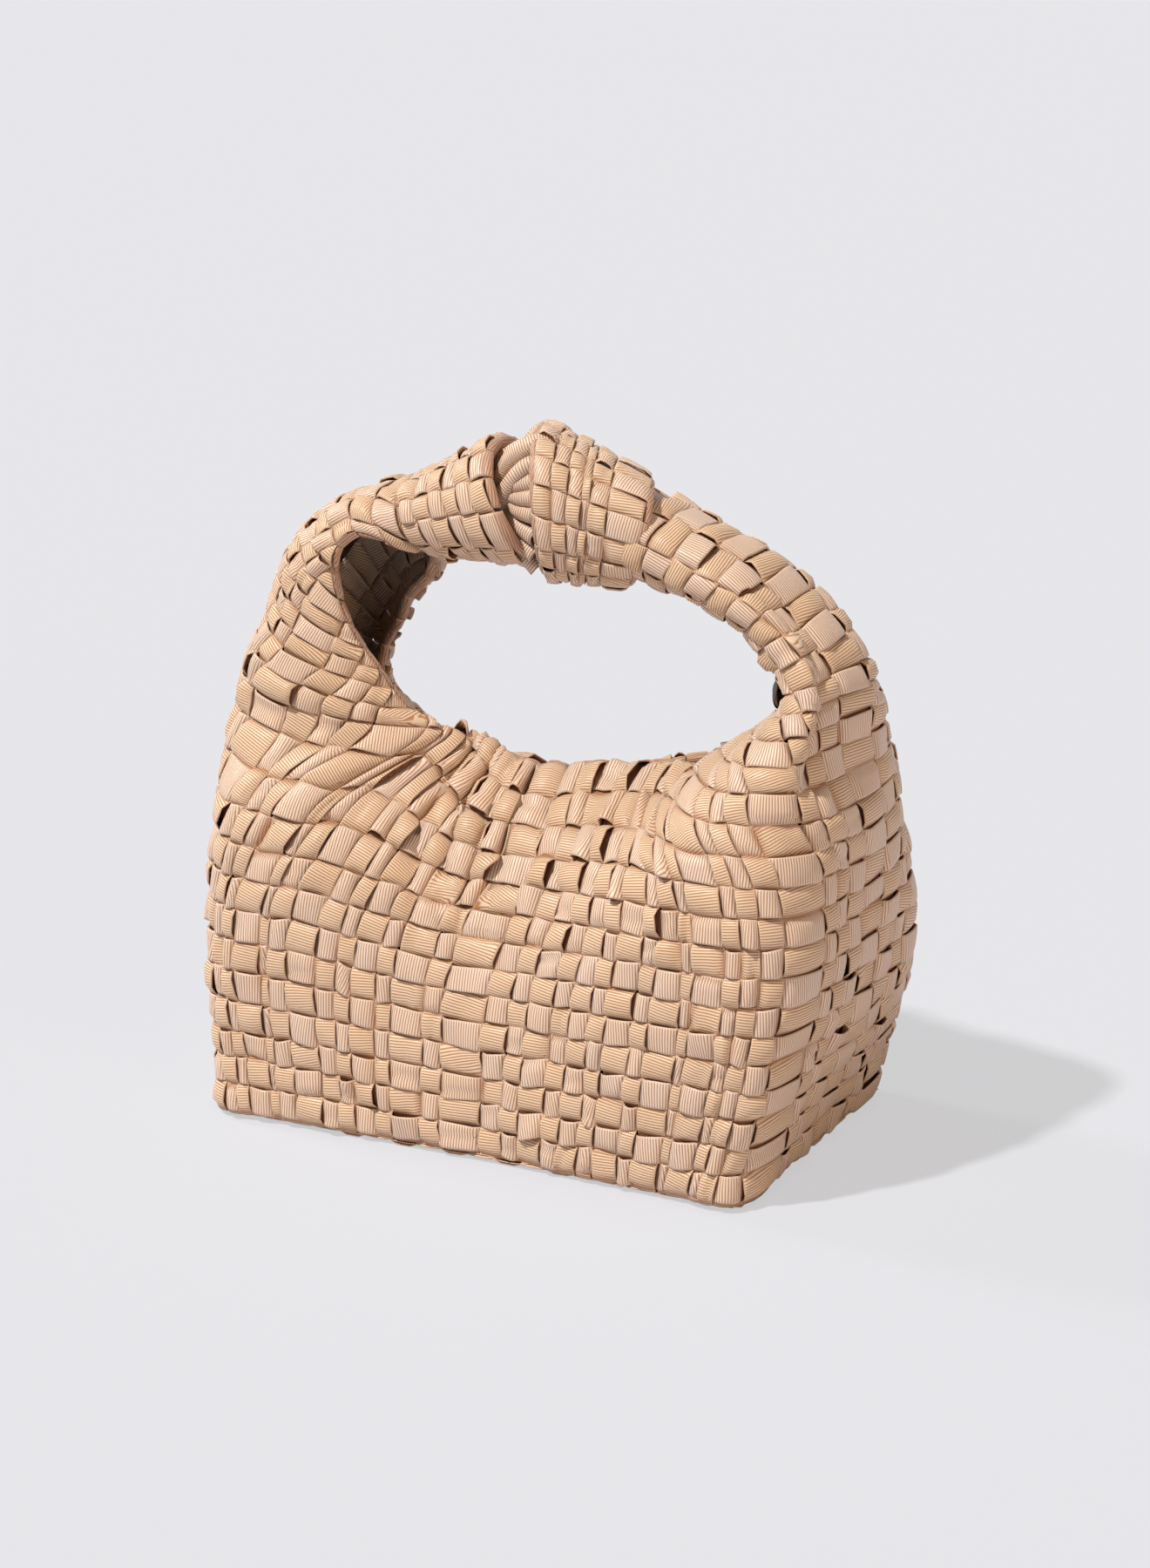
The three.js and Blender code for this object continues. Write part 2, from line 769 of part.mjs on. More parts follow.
function addHandle() {
  for (const [word, side] of Object.entries(sides)) {
    const open = word === "left";
    const from = distanceAt(side, hingeHeight - seatRadius(side) - seatMargin);
    const rows = steps(from, side.marks.entry, armUp);
    const upTo = open ? openLining : 1;
    const weave = aboveSeat(side, sideSheet(side, rows, armAcross, 0, weaveThickness));
    const skin = aboveSeat(side, sideSheet(side, rows, armAcross, liningInset, liningThickness, upTo));
    add(`${word}_handle_arm`, open ? weave : pierced(weave), "ribbon");
    add(`${word}_arm_lining`, open ? skin : pierced(skin), "lining");
    const pastArm = mix(side.marks.arm, side.marks.entry, openPadding);
    const padding = paddingBody(side, open ? pastArm : studDistance + snapDiameter);
    add(`${word}_arm_padding`, padding, "padding");
  }
  add("handle_knot", knotBody(), "ribbon");
}

function addSnap() {
  const stud = add("snap_stud", turned(snapProfile(true)), "gunmetal");
  placeSnap(stud, sides.right, studDistance, Math.PI, studBedding);
  const hole = postDiameter / 2 + clearance;
  const rim = washerDiameter / 2;
  const outline = [[hole, 0], [rim, 0], [rim, washerThickness], [hole, washerThickness], [hole, 0]];
  const washerShape = turned(outline.map(([x, y]) => new THREE.Vector2(x, y)));
  const washer = add("snap_stud_washer", washerShape, "gunmetal");
  placeSnap(washer, sides.right, studDistance, Math.PI, studBedding - washerReach + rest);
  const socket = add("snap_socket", turned(snapProfile(false)), "gunmetal");
  placeSnap(socket, sides.left, socketDistance, 0, socketBedding);
}

addBody();
addHandle();
addSnap();

export default bag;
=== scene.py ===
# %% [markdown]
# # A small handbag woven from grosgrain ribbon
# The real bag is a plaited sheet: stiff ribbons go round the body like hoops, others climb from
# the base, and where they cross they pass over and under one another. The climbing ribbons of
# each side run on into the handle, which is tied in a knot on top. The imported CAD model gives
# the frame: its bodies, its hinge and its size. It is loaded first, and everything below is
# built round it, measured in millimetres and placed in the frame's metres.

# %% Load the frame
import itertools
import math

import bpy
import numpy as np
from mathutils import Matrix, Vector


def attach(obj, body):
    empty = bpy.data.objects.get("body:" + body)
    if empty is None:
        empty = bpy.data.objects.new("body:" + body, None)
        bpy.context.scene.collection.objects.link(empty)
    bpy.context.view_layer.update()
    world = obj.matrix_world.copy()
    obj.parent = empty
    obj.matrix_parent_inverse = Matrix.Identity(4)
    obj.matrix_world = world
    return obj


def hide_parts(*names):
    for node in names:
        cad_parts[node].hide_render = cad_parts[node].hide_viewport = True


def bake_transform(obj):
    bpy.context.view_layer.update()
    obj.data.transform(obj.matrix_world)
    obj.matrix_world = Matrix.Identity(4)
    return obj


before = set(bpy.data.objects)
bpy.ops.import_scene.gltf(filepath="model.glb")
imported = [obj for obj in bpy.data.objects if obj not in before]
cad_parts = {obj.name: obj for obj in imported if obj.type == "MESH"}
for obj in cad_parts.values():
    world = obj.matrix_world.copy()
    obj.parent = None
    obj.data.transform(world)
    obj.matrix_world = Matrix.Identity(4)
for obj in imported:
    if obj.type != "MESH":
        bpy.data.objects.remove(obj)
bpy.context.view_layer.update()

MM = 0.001
scene = bpy.context.scene

# %% [markdown]
# ## The camera
# The photograph is taken from the right of the bag's front and a little above it, with a long
# lens, so that upright edges stay upright. The camera could be aimed with a constraint, but a
# fixed place and a turn towards one point is all that a still view needs.

# %% Camera
VIEW_AZIMUTH, VIEW_ELEVATION = 27.09, 15.63
VIEW_DISTANCE = 1.2
VIEW_TARGET = Vector((0.0101, 0.0, 0.12042))
LENS, SENSOR = 78.6, 36.0
NEAREST, FARTHEST = 0.05, 60.0


def direction(azimuth, elevation):
    """Unit vector that points from the bag to a camera or a lamp, with 0 in front."""
    turn, rise = math.radians(azimuth), math.radians(elevation)
    return Vector((
        math.sin(turn) * math.cos(rise), -math.cos(turn) * math.cos(rise), math.sin(rise)
    ))


camera_data = bpy.data.cameras.new("product_camera")
camera_data.sensor_fit = "AUTO"
camera_data.sensor_width = SENSOR
camera_data.lens = LENS
camera_data.clip_start, camera_data.clip_end = NEAREST, FARTHEST
camera = bpy.data.objects.new("product_camera", camera_data)
scene.collection.objects.link(camera)
camera.location = VIEW_TARGET + direction(VIEW_AZIMUTH, VIEW_ELEVATION) * VIEW_DISTANCE
camera.rotation_euler = (VIEW_TARGET - camera.location).to_track_quat("-Z", "Y").to_euler()
scene.camera = camera
print("camera at", [round(v, 3) for v in camera.location])

# %% [markdown]
# ## Helpers for materials and meshes
# Every material below is a small graph. One function adds a node with its settings and links,
# so that a material reads as a list of steps. Colours are written as the sRGB hex values that a
# colour picker shows, and one function turns them to the linear light that the renderer counts
# in. Every mesh is made of arrays of points and faces, which Blender takes in one go. Adding
# faces one by one with bmesh would give the same, but slowly at this number.

# %% Helpers


def linear(code):
    """Linear RGBA of an sRGB hex colour."""
    parts = [int(code[i:i + 2], 16) / 255 for i in (1, 3, 5)]
    return (*[p / 12.92 if p <= 0.04045 else ((p + 0.055) / 1.055) ** 2.4 for p in parts], 1.0)


def fill_sockets(tree, target, inputs):
    """Fills a node's sockets: (node, output) makes a link, and the rest are values."""
    for name, value in inputs.items():
        if isinstance(value, tuple) and isinstance(value[0], bpy.types.Node):
            tree.links.new(value[0].outputs[value[1]], target.inputs[name])
        else:
            target.inputs[name].default_value = value


def node(tree, kind, inputs=None, **settings):
    """Adds one shader node with its settings and its sockets."""
    made = tree.nodes.new("ShaderNode" + kind)
    for name, value in settings.items():
        setattr(made, name, value)
    fill_sockets(tree, made, inputs or {})
    return made


def new_material(name):
    """An empty material with its tree and its Principled shader."""
    material = bpy.data.materials.new(name)
    material.use_nodes = True
    tree = material.node_tree
    return material, tree, tree.nodes["Principled BSDF"]


def mesh_object(name, points, faces, material, values=None):
    """An object of points in mm and arrays of faces, with values at its points."""
    corners = np.concatenate([array.ravel() for array in faces])
    sizes = np.concatenate([np.full(len(array), array.shape[1]) for array in faces])
    mesh = bpy.data.meshes.new(name)
    mesh.vertices.add(len(points))
    mesh.vertices.foreach_set("co", (points * MM).ravel())
    mesh.loops.add(len(corners))
    mesh.loops.foreach_set("vertex_index", corners)
    mesh.polygons.add(len(sizes))
    mesh.polygons.foreach_set("loop_start", np.cumsum(sizes) - sizes)
    mesh.polygons.foreach_set("use_smooth", np.ones(len(sizes), bool))
    for key, numbers in (values or {}).items():
        attribute = mesh.attributes.new(key, "FLOAT", "POINT")
        attribute.data.foreach_set("value", numbers.astype(np.float32))
    mesh.update(calc_edges=True)
    mesh.materials.append(material)
    made = bpy.data.objects.new(name, mesh)
    scene.collection.objects.link(made)
    print(name, len(sizes), "faces")
    return made


print("half-bright #808080 is", round(linear("#808080")[0], 3), "in linear light")

# %% [markdown]
# ## The floor
# The bag stands on a pale seamless paper sweep. The floor is one big plane in the background's
# own grey, so that it fills the frame. A studio lights its sweep from below too, which keeps
# the shadow faint: for the camera's own rays a share of glow is mixed into the paper.

# %% Floor
BACKDROP, PAPER = "#E7E7E9", "#CBCED9"
FLOOR_HALF, FLOOR_DROP = 30000.0, 0.2
SHADOW_FILL = 0.68

sweep, tree, shader = new_material("pale_paper_sweep")
fill_sockets(tree, shader, {
    "Base Color": linear(PAPER), "Roughness": 0.9, "Specular IOR Level": 0.1,
})
ray = node(tree, "LightPath")
glow = node(tree, "Emission", {"Color": linear(BACKDROP), "Strength": 1.0})
fill = node(tree, "Math", {0: (ray, "Is Camera Ray"), 1: SHADOW_FILL}, operation="MULTIPLY")
swept = node(tree, "MixShader", {"Fac": (fill, 0), 1: (shader, 0), 2: (glow, 0)})
fill_sockets(tree, tree.nodes["Material Output"], {"Surface": (swept, 0)})

square = np.array([(-1, -1, 0), (1, -1, 0), (1, 1, 0), (-1, 1, 0)]) * FLOOR_HALF
floor = mesh_object("floor", square - (0, 0, FLOOR_DROP), [np.array([[0, 1, 2, 3]])], sweep)

# %% [markdown]
# ## The light
# One strong soft lamp stands at the front left, a weak one at the left and a warm reflector at
# the right, and the pale room fills the rest. The room is the world's colour. The lamps could
# be area lights, but sun lamps with wide discs light every side evenly: their light has one
# direction and their shadows a soft edge. For the camera and for reflections the world shows
# the backdrop's grey, and the bag itself gets a fainter and warmer share of it.

# %% Light
LAMPS = {
    "front_left_softbox": dict(
        strength=3.42, azimuth=-34.0, elevation=57.0, angle=3.0, colour="#FEFCFA"),
    "left_softbox": dict(
        strength=0.95, azimuth=-97.0, elevation=34.0, angle=12.0, colour="#FFFDFB"),
    "right_reflector": dict(
        strength=0.75, azimuth=66.0, elevation=14.0, angle=25.0, colour="#FFE2C6"),
}
ROOM_STRENGTH, ROOM_COLOUR = 0.2, "#FBEBD9"

for name, facts in LAMPS.items():
    data = bpy.data.lights.new(name, "SUN")
    data.energy = facts["strength"]
    data.angle = math.radians(facts["angle"])
    data.color = linear(facts["colour"])[:3]
    lamp = bpy.data.objects.new(name, data)
    scene.collection.objects.link(lamp)
    towards = direction(facts["azimuth"], facts["elevation"])
    lamp.rotation_euler = towards.to_track_quat("Z", "Y").to_euler()
    print(name, "from azimuth", facts["azimuth"])

world = bpy.data.worlds.new("pale_room")
scene.world = world
world.use_nodes = True
room = world.node_tree
ray = node(room, "LightPath")
seen = node(room, "Math", {
    0: (ray, "Is Camera Ray"), 1: (ray, "Is Glossy Ray"),
}, operation="MAXIMUM")
tone = node(room, "Mix", {
    "Factor": (seen, 0), "A": linear(ROOM_COLOUR), "B": linear(BACKDROP),
}, data_type="RGBA")
power = node(room, "Mix", {0: (seen, 0), 2: ROOM_STRENGTH, 3: 1.0}, data_type="FLOAT")
fill_sockets(room, room.nodes["Background"], {"Color": (tone, 2), "Strength": (power, 0)})
scene.view_settings.view_transform = "Standard"

# %% [markdown]
# ## The bag's surface
# A woven bag has no seams to model from, so its shape is one smooth surface, and every ribbon
# is laid on it. Each side is a run of oval sections from the base to the knot. The front and
# back panels are stretched between the sides' edges and dip to the mouth in the middle. The
# stations below are the CAD model's own, in millimetres and degrees, so that the ribbons lie
# where its solids are. A section has a place (reach, height), a tilt, half sizes outwards
# (thick), inwards (flap in front, tail behind) and to front and back (deep), a squareness on
# its outer and inner half, and the angles at which the sheet ends in front and behind.

# %% The sides' sections
BASE_WIDTH, BASE_DEPTH, BASE_CORNER = 210.0, 132.0, 31.0
SHOULDER_HEIGHT, BOARD_BOTTOM = 139.0, 3.3
SHOULDER = 3
FIELDS = ("reach", "height", "tilt", "thick", "flap", "tail", "deep", "square", "pinch",
          "front", "back")
FOOT = (74, BOARD_BOTTOM, 0, 31, 31, 31, 66, 8, 8, 90, 90)
STATIONS = {
    "left": [
        FOOT,
        (79.5, 75, 0, 38.5, 38.5, 38.5, 63, 3.6, 3.6, 92, 92),
        (81.5, 114, 0, 38.5, 40, 34, 54, 3, 2.2, 120, 112),
        (83.9, SHOULDER_HEIGHT, 3, 35.8, 55.4, 9, 37, 2.7, 1.7, 157, 135),
        (87.5, 152.1, 10, 27.8, 49.2, 13.3, 37, 2.5, 1.8, 152, 126),
        (85.5, 170.5, 20, 23, 43.8, 24, 31.2, 2.4, 1.9, 135, 138),
        (78.9, 192.1, 38, 19.75, 32.5, 27, 28.2, 2.3, 2.2, 111, 156),
        (62.3, 206.1, 53, 16.95, 16, 24.7, 26.5, 2.2, 2.2, 82, 165),
        (47.5, 212, 68, 14.5, 14.5, 14.5, 23, 2.2, 2.2, 150, 178),
    ],
    "right": [
        FOOT,
        (82, 75, 0, 39.5, 39.5, 39.5, 65, 4.2, 4.2, 92, 92),
        (83.5, 114, 0, 39.5, 39.5, 39.5, 59, 3, 2.2, 116, 116),
        (90.6, SHOULDER_HEIGHT, 3, 31.2, 31.2, 31.2, 47.6, 2.7, 1.6, 152, 152),
        (105.5, 166, 22, 14, 14, 14, 29, 2.4, 1.9, 174, 174),
        (94.1, 185.1, 38, 13, 13, 13, 24, 2.3, 2.2, 174, 174),
        (72.8, 199.9, 53, 12, 12, 12, 24, 2.2, 2.2, 177, 177),
        (38.5, 212, 77, 14.5, 14.5, 14.5, 23, 2.2, 2.2, 178, 178),
    ],
}


def unit(v):
    return v / np.maximum(np.linalg.norm(v, axis=-1, keepdims=True), 1e-9)


def eased_step(value):
    value = np.clip(value, 0, 1)
    return value * value * (3 - 2 * value)


def run_length(line):
    """Length along a line of points, from 0 at its start."""
    return np.concatenate([[0], np.cumsum(np.linalg.norm(np.diff(line, axis=0), axis=1))])


def hermite(start, start_slope, finish, finish_slope, s):
    s2, s3 = s * s, s * s * s
    return ((2 * s3 - 3 * s2 + 1) * start + (s3 - 2 * s2 + s) * start_slope
            + (3 * s2 - 2 * s3) * finish + (s3 - s2) * finish_slope)


def smooth(knots, values, at):
    """Smooth values through knots; a knot's slope comes from its two neighbours."""
    last = len(knots) - 1
    low, high = np.arange(-1, last).clip(0), np.arange(1, last + 2).clip(0, last)
    slopes = (values[high] - values[low]) / (knots[high] - knots[low])
    i = np.clip(np.searchsorted(knots, at, side="right") - 1, 0, last - 1)
    run = knots[i + 1] - knots[i]
    return hermite(values[i], run * slopes[i], values[i + 1], run * slopes[i + 1],
                   (at - knots[i]) / run)


def make_side(hand, rows):
    rows = np.array(rows)
    along = run_length(rows[:, :2])
    return {"hand": hand, "along": along, "shoulder": along[SHOULDER], "end": along[-1],
            **{name: rows[:, k] for k, name in enumerate(FIELDS)}}


SIDES = {"left": make_side(-1, STATIONS["left"]), "right": make_side(1, STATIONS["right"])}


def section_point(side, distance, angle, inset):
    """Point of a side at a distance along it and an angle from its outer line, moved inwards."""
    reach, height, tilt, thick, flap, tail, deep, square, pinch = (
        smooth(side["along"], side[name], distance) for name in FIELDS[:9])
    cos, sin = np.cos(np.radians(angle)), np.sin(np.radians(angle))
    power = np.where(cos > 0, square, pinch)
    stretch = (np.abs(cos) ** power + np.abs(sin) ** power) ** (-1 / power)
    behind = flap + (tail - flap) * eased_step((sin + 0.25) / 0.5)
    out = (np.where(cos > 0, thick, behind) - inset) * cos * stretch
    x = side["hand"] * (reach + out * np.cos(np.radians(tilt)))
    y = (deep - inset) * sin * stretch
    z = height + out * np.sin(np.radians(tilt))
    return np.stack(np.broadcast_arrays(x, y, z), -1)


def edge_angles(side, distance):
    """Angles at which a side's sheet ends in front and behind."""
    return [smooth(side["along"], side[name], distance) for name in ("front", "back")]


def side_point(side, distance, across, inset):
    """Point of a side's sheet; across runs from -1 at its front edge to 1 at its back edge."""
    front, back = edge_angles(side, distance)
    return section_point(side, distance, (back + front) / 2 * across + (back - front) / 2, inset)


print("sides run", {k: round(float(s["end"])) for k, s in SIDES.items()}, "mm to the knot")

# %% [markdown]
# The panels could be lofted in the viewport from two edge curves and a middle one. Written as
# a formula they stay exact: one curve runs from the left side's edge to the middle of the bag
# and one from there to the right side's edge, each leaving its edge in the side's own
# direction, so that no crease shows where a panel meets a side.

# %% The panels' curves
RIM_DIP = {-1: 10.0, 1: 15.0}
HALF_MOUTH = 9.0
MIDDLE_SHARE = np.array([0, 0.22, 0.55, 0.77, 0.9, 1])
MIDDLE_HEIGHT = np.array([0, 0.22, 0.56, 0.775, 0.905, 1])
MIDDLE_HALF = np.array([0.95, 0.915, 0.765, 0.5, 0.27, 0])


def panel_point(facing, share, across, inset):
    """Point of the front (facing -1) or back (facing 1) panel."""
    share, across = np.broadcast_arrays(np.asarray(share, float), np.asarray(across, float))

    def edge(side, at):
        return side_point(side, share * side["shoulder"], facing * at, inset)

    left, right = edge(SIDES["left"], 1.0), edge(SIDES["right"], 1.0)
    left_slope = unit(left - edge(SIDES["left"], 0.999))
    right_slope = unit(right - edge(SIDES["right"], 0.999))
    rise = SHOULDER_HEIGHT - RIM_DIP[facing] - BOARD_BOTTOM
    height = BOARD_BOTTOM + rise * smooth(MIDDLE_SHARE, MIDDLE_HEIGHT, share)
    half = HALF_MOUTH + (BASE_DEPTH / 2 - HALF_MOUTH) * smooth(MIDDLE_SHARE, MIDDLE_HALF, share)
    flat = np.zeros_like(height)
    middle = np.stack([flat, facing * (half - inset), height], -1)
    slope = np.stack([(right[..., 0] - left[..., 0]) / 2, flat,
                      (right[..., 2] - left[..., 2]) / 4], -1)
    run_left = np.linalg.norm(middle - left, axis=-1, keepdims=True)
    run_right = np.linalg.norm(middle - right, axis=-1, keepdims=True)
    s = across[..., None]
    on_left = hermite(left, left_slope * run_left, middle, slope, s + 1)
    on_right = hermite(middle, slope, right, -right_slope * run_right, s)
    return np.where(s < 0, on_left, on_right)


print("front rim's middle at", np.round(panel_point(-1, 1.0, 0.0, 0.0), 1), "mm")
# %% [markdown]
# ## The plan of the weave
# The ribbons that climb are called warps here and the hoops wefts, as on a loom. The wefts are
# all about 10 mm wide. The warps come in three widths, of about 6, 9 and 16 mm, in no regular
# order, and that mix is what gives the bag its uneven checks. Counted on the photograph, some
# 18 warps climb each panel and 18 each side. The total has to be even, or over and under would
# clash where a hoop closes.
#
# As a side narrows to its arm, its warps keep their width and stop at the sheet's two edges one
# after another: on the left at the slanting edge in front, on the right where the sheet rolls in.
# Where each warp lies is worked out once for every quarter row, as a table of its edges.
#
# Two wishes of the real weave bend these tables. The hoops rise towards the left handle root,
# by up to 2.6 rows at the side's outer line (the climb). And the front's last warps run straight
# up past the corner, so that near the rim they lie on the right side (the corner shift).

# %% Weave plan
ROWS = 14
ARM_ROWS = {"left": 10, "right": 13}
PANEL_WARPS = [7.5, 11, 7.5, 6, 9, 6, 12.5, 7, 16.5, 9, 7, 10, 7, 8, 6, 10, 6, 11]
SIDE_WARPS = [6, 17, 7, 7.5, 9, 17, 6.5, 7, 10, 16, 12, 8, 14, 9, 16, 8, 11, 8]
WARPS = {"front": PANEL_WARPS, "right": SIDE_WARPS,
         "back": PANEL_WARPS[::-1], "left": SIDE_WARPS[::-1]}
PARTS = ["front", "right", "back", "left"]
AHEAD = {"front": 1, "right": 1, "back": -1, "left": -1}
WEAVE_INSET = 1.8
EDGE_STEP = 0.25
LOWEST = -2.5
NARROWEST = ROWS + 9.9
COLUMN_DRIFT, DRIFT_START = 0.12, 5
LEFT_CLIMB, CLIMB_START, CLIMB_ROWS = 2.6, 3, 11
CORNER_SHIFT, CORNER_SHARE, CORNER_LEVEL, CORNER_SPREAD = 0.165, 0.64, 11.0, 2.7


def side_distance(hand, level):
    """Distance along a side at a level, counted in rows."""
    side = SIDES[hand]
    low = np.minimum(level, ROWS) / ROWS * side["shoulder"]
    return low + np.maximum(level - ROWS, 0) / ARM_ROWS[hand] * (side["end"] - side["shoulder"])


def even_edges(widths):
    return np.concatenate([[0], np.cumsum(widths)]) / np.sum(widths) * 2 - 1


def corner_shift(level):
    """How far the front's last warps pass the corner, so that they climb in a straight line."""
    near = np.exp(-((level - CORNER_LEVEL) / CORNER_SPREAD) ** 2)
    return CORNER_SHIFT * near * eased_step((ROWS - level) / 3)


def front_edges(level):
    drift = COLUMN_DRIFT * eased_step((level - DRIFT_START) / (ROWS - DRIFT_START))
    edges = even_edges(WARPS["front"])
    return edges + drift * (1 - edges ** 2) + corner_shift(level) * ((edges + 1) / 2) ** 2


def climb(part, across, level):
    """Rows by which the wefts rise towards the left side's outer line."""
    left = ROWS + ARM_ROWS["left"] - level
    rise = np.clip((level - CLIMB_START) / CLIMB_ROWS, 0, 1)
    rise = rise * np.clip(left / (ARM_ROWS["left"] - 1), 0, 1)
    if part == "left":
        share = np.where(across < 0, 1 - 0.45 * eased_step(-across), eased_step(1 - across))
    elif part == "front":
        share = 0.55 * eased_step((-0.1 - across) / 0.9)
    else:
        share = 0 * across
    return LEFT_CLIMB * rise * share


def arc_lengths(hand, level):
    """Lengths of a side's section from its outer line, at a row of across values."""
    side, across = SIDES[hand], np.linspace(-1, 1, 121)
    distance = side_distance(hand, level)
    run = run_length(side_point(side, np.full(121, distance), across, WEAVE_INSET))
    front, back = edge_angles(side, distance)
    return across, run - np.interp(2 * front / (front + back) - 1, across, run)


def side_edges(hand):
    """Table of one side's warp edges: each keeps its width until an edge of the sheet cuts it."""
    levels = np.arange(LOWEST, ROWS + ARM_ROWS[hand] + 2 + EDGE_STEP, EDGE_STEP)
    turn = 1 if hand == "right" else -1
    even = even_edges(WARPS[hand])
    across, arc = arc_lengths(hand, ROWS)
    own = np.interp(turn * even, across, arc)
    low, high = arc[0], arc[-1]
    table = []
    for level in levels:
        if level <= ROWS:
            moved = CORNER_SHARE * corner_shift(level) * ((1 - even) / 2) ** 2
            table.append(even + (moved if hand == "right" else 0))
            continue
        across, arc = arc_lengths(hand, min(level, ROWS + ARM_ROWS[hand]))
        if level < NARROWEST:
            low, high = max(low, arc[0]), min(high, arc[-1])
        kept = np.clip(own, low, high)
        kept = np.where(kept < 0, kept * arc[0] / low, kept * arc[-1] / high)
        table.append(turn * np.interp(kept, arc, across))
    return np.array(table)


def panel_edges(part):
    levels = np.arange(LOWEST, ROWS + 2 + EDGE_STEP, EDGE_STEP)
    even = even_edges(WARPS[part])
    return np.array([front_edges(level) if part == "front" else even for level in levels])


EDGES = {part: (side_edges if part in SIDES else panel_edges)(part) for part in PARTS}


def across_at(part, column, level):
    """Across value of a fractional warp number counted along the hoop within a part."""
    column, level = np.broadcast_arrays(np.asarray(column, float), np.asarray(level, float))
    table = EDGES[part]
    at = np.clip((level - LOWEST) / EDGE_STEP, 0, len(table) - 1.001)
    i = at.astype(int)
    share = at - i
    k = np.clip(np.floor(column).astype(int), 0, table.shape[1] - 2)
    start = table[i, k] * (1 - share) + table[i + 1, k] * share
    finish = table[i, k + 1] * (1 - share) + table[i + 1, k + 1] * share
    return (start + (column - k) * (finish - start)) * AHEAD[part]


def place_on(part, column, level):
    """Across and level on the surface of a fractional warp number and row number."""
    across = across_at(part, column, level)
    across = across_at(part, column, level + climb(part, across, level))
    return across, level + climb(part, across, level)


def row_number(part, across, level):
    """The row number that lies at a level of the surface."""
    rows = np.arange(0, 40, 0.1)
    return float(np.interp(level, rows + climb(part, np.full(len(rows), across), rows), rows))


assert all(len(widths) % 2 == 0 for widths in WARPS.values())
print(sum(map(len, WARPS.values())), "warps,", ROWS, "hoops and up the arms", ARM_ROWS)

# %% [markdown]
# Where a sheet ends it doesn't stop dead. The warps fold in over the rim, the wefts of the arms
# fold in round the slit, and the foot of every warp turns under the base. One function carries
# the surface on past such an edge: round a small curl and then straight.

# %% The woven surface
CURL = 1.9
STEP = 0.02
ROW_PITCH, LIP_PITCH = 10.0, 60.0


def curled(edge, onward, outward, beyond, turn):
    """Points past an edge: round an arc of the curl's radius through turn, then straight on."""
    beyond = np.maximum(beyond, 0.0)
    angle = np.minimum(beyond / CURL, turn)
    straight = (beyond - angle * CURL)[..., None]
    angle = angle[..., None]
    return (edge + onward * (CURL * np.sin(angle) + straight * np.cos(angle))
            - outward * (CURL * (1 - np.cos(angle)) + straight * np.sin(angle)))


# Folds of a panel: where it meets the rim, its lean a row, its half width and its depth in mm.
FOLDS = {
    "front": ((-0.62, 0.05, 0.05, 2.6), (-0.4, 0.03, 0.04, 3.6), (-0.2, 0.012, 0.035, 3.0),
              (0.0, 0.0, 0.035, 2.6), (0.18, -0.01, 0.04, 2.4), (0.45, -0.02, 0.05, 1.6)),
    "back": ((-0.4, 0.0, 0.05, 2.0), (0.05, 0.0, 0.045, 2.2), (0.42, 0.0, 0.05, 1.8)),
}
# Swellings of a side: height in mm, level and its spread, across and its spread.
FOOT_CORNER = (3.4, -0.3, 1.5, -0.5, 0.22)
BELLY = (3.2, 5.2, 2.8, 0.35, 0.6)
SWELLINGS = {"left": (FOOT_CORNER,), "right": (FOOT_CORNER, BELLY)}
ARM_GROOVE, GROOVE_START, GROOVE_SPREAD = 6.5, -0.36, 0.42
RUMPLE = 0.55


def creases(part, across, level):
    """How far the sheet sinks in at its soft folds, in mm."""
    sink = np.zeros(np.broadcast(across, level).shape)
    for high, middle, tall, centre, wide in SWELLINGS.get(part, ()):
        sink = sink - high * np.exp(-((level - middle) / tall) ** 2
                                    - ((across - centre) / wide) ** 2)
    if part == "right":
        along = eased_step((level - 12.5) / 2.5) * eased_step((23.0 - level) / 3)
        past = (across - GROOVE_START - 0.09).clip(0)
        sink = sink + (ARM_GROOVE * along * eased_step((across - GROOVE_START) / 0.08)
                       * np.exp(-(past / GROOVE_SPREAD) ** 2))
    inner = eased_step((1 - np.abs(across)) / 0.15)
    near_rim = eased_step((level - 5.5) / 5)
    for centre, lean, width, deep in FOLDS.get(part, ()):
        line = centre + lean * (ROWS - level)
        sink = sink + deep * near_rim * np.exp(-((across - line) / width) ** 2)
    rumple = RUMPLE * (np.sin(across * 17 + level * 0.9) * np.sin(level * 1.7 - across * 6)
                       + 0.7 * np.sin(across * 9 + level))
    return sink + rumple * inner if part in SIDES else (sink + rumple) * inner


def plain_point(part, across, level, inset):
    if part in ("front", "back"):
        facing = -1 if part == "front" else 1
        return panel_point(facing, level / ROWS, across, inset)
    return side_point(SIDES[part], side_distance(part, level), across, inset)


def frame_at(part, across, level, inset):
    """Place, tangents across and up, and outward normal of the plain sheet."""
    place = plain_point(part, across, level, inset)
    around = unit(plain_point(part, across + STEP, level, inset)
                  - plain_point(part, across - STEP, level, inset))
    down = np.where(level > STEP, level - STEP, level)
    up = unit(plain_point(part, across, level + STEP, inset)
              - plain_point(part, across, down, inset))
    return place, around, up, unit(np.cross(around * AHEAD[part], up))


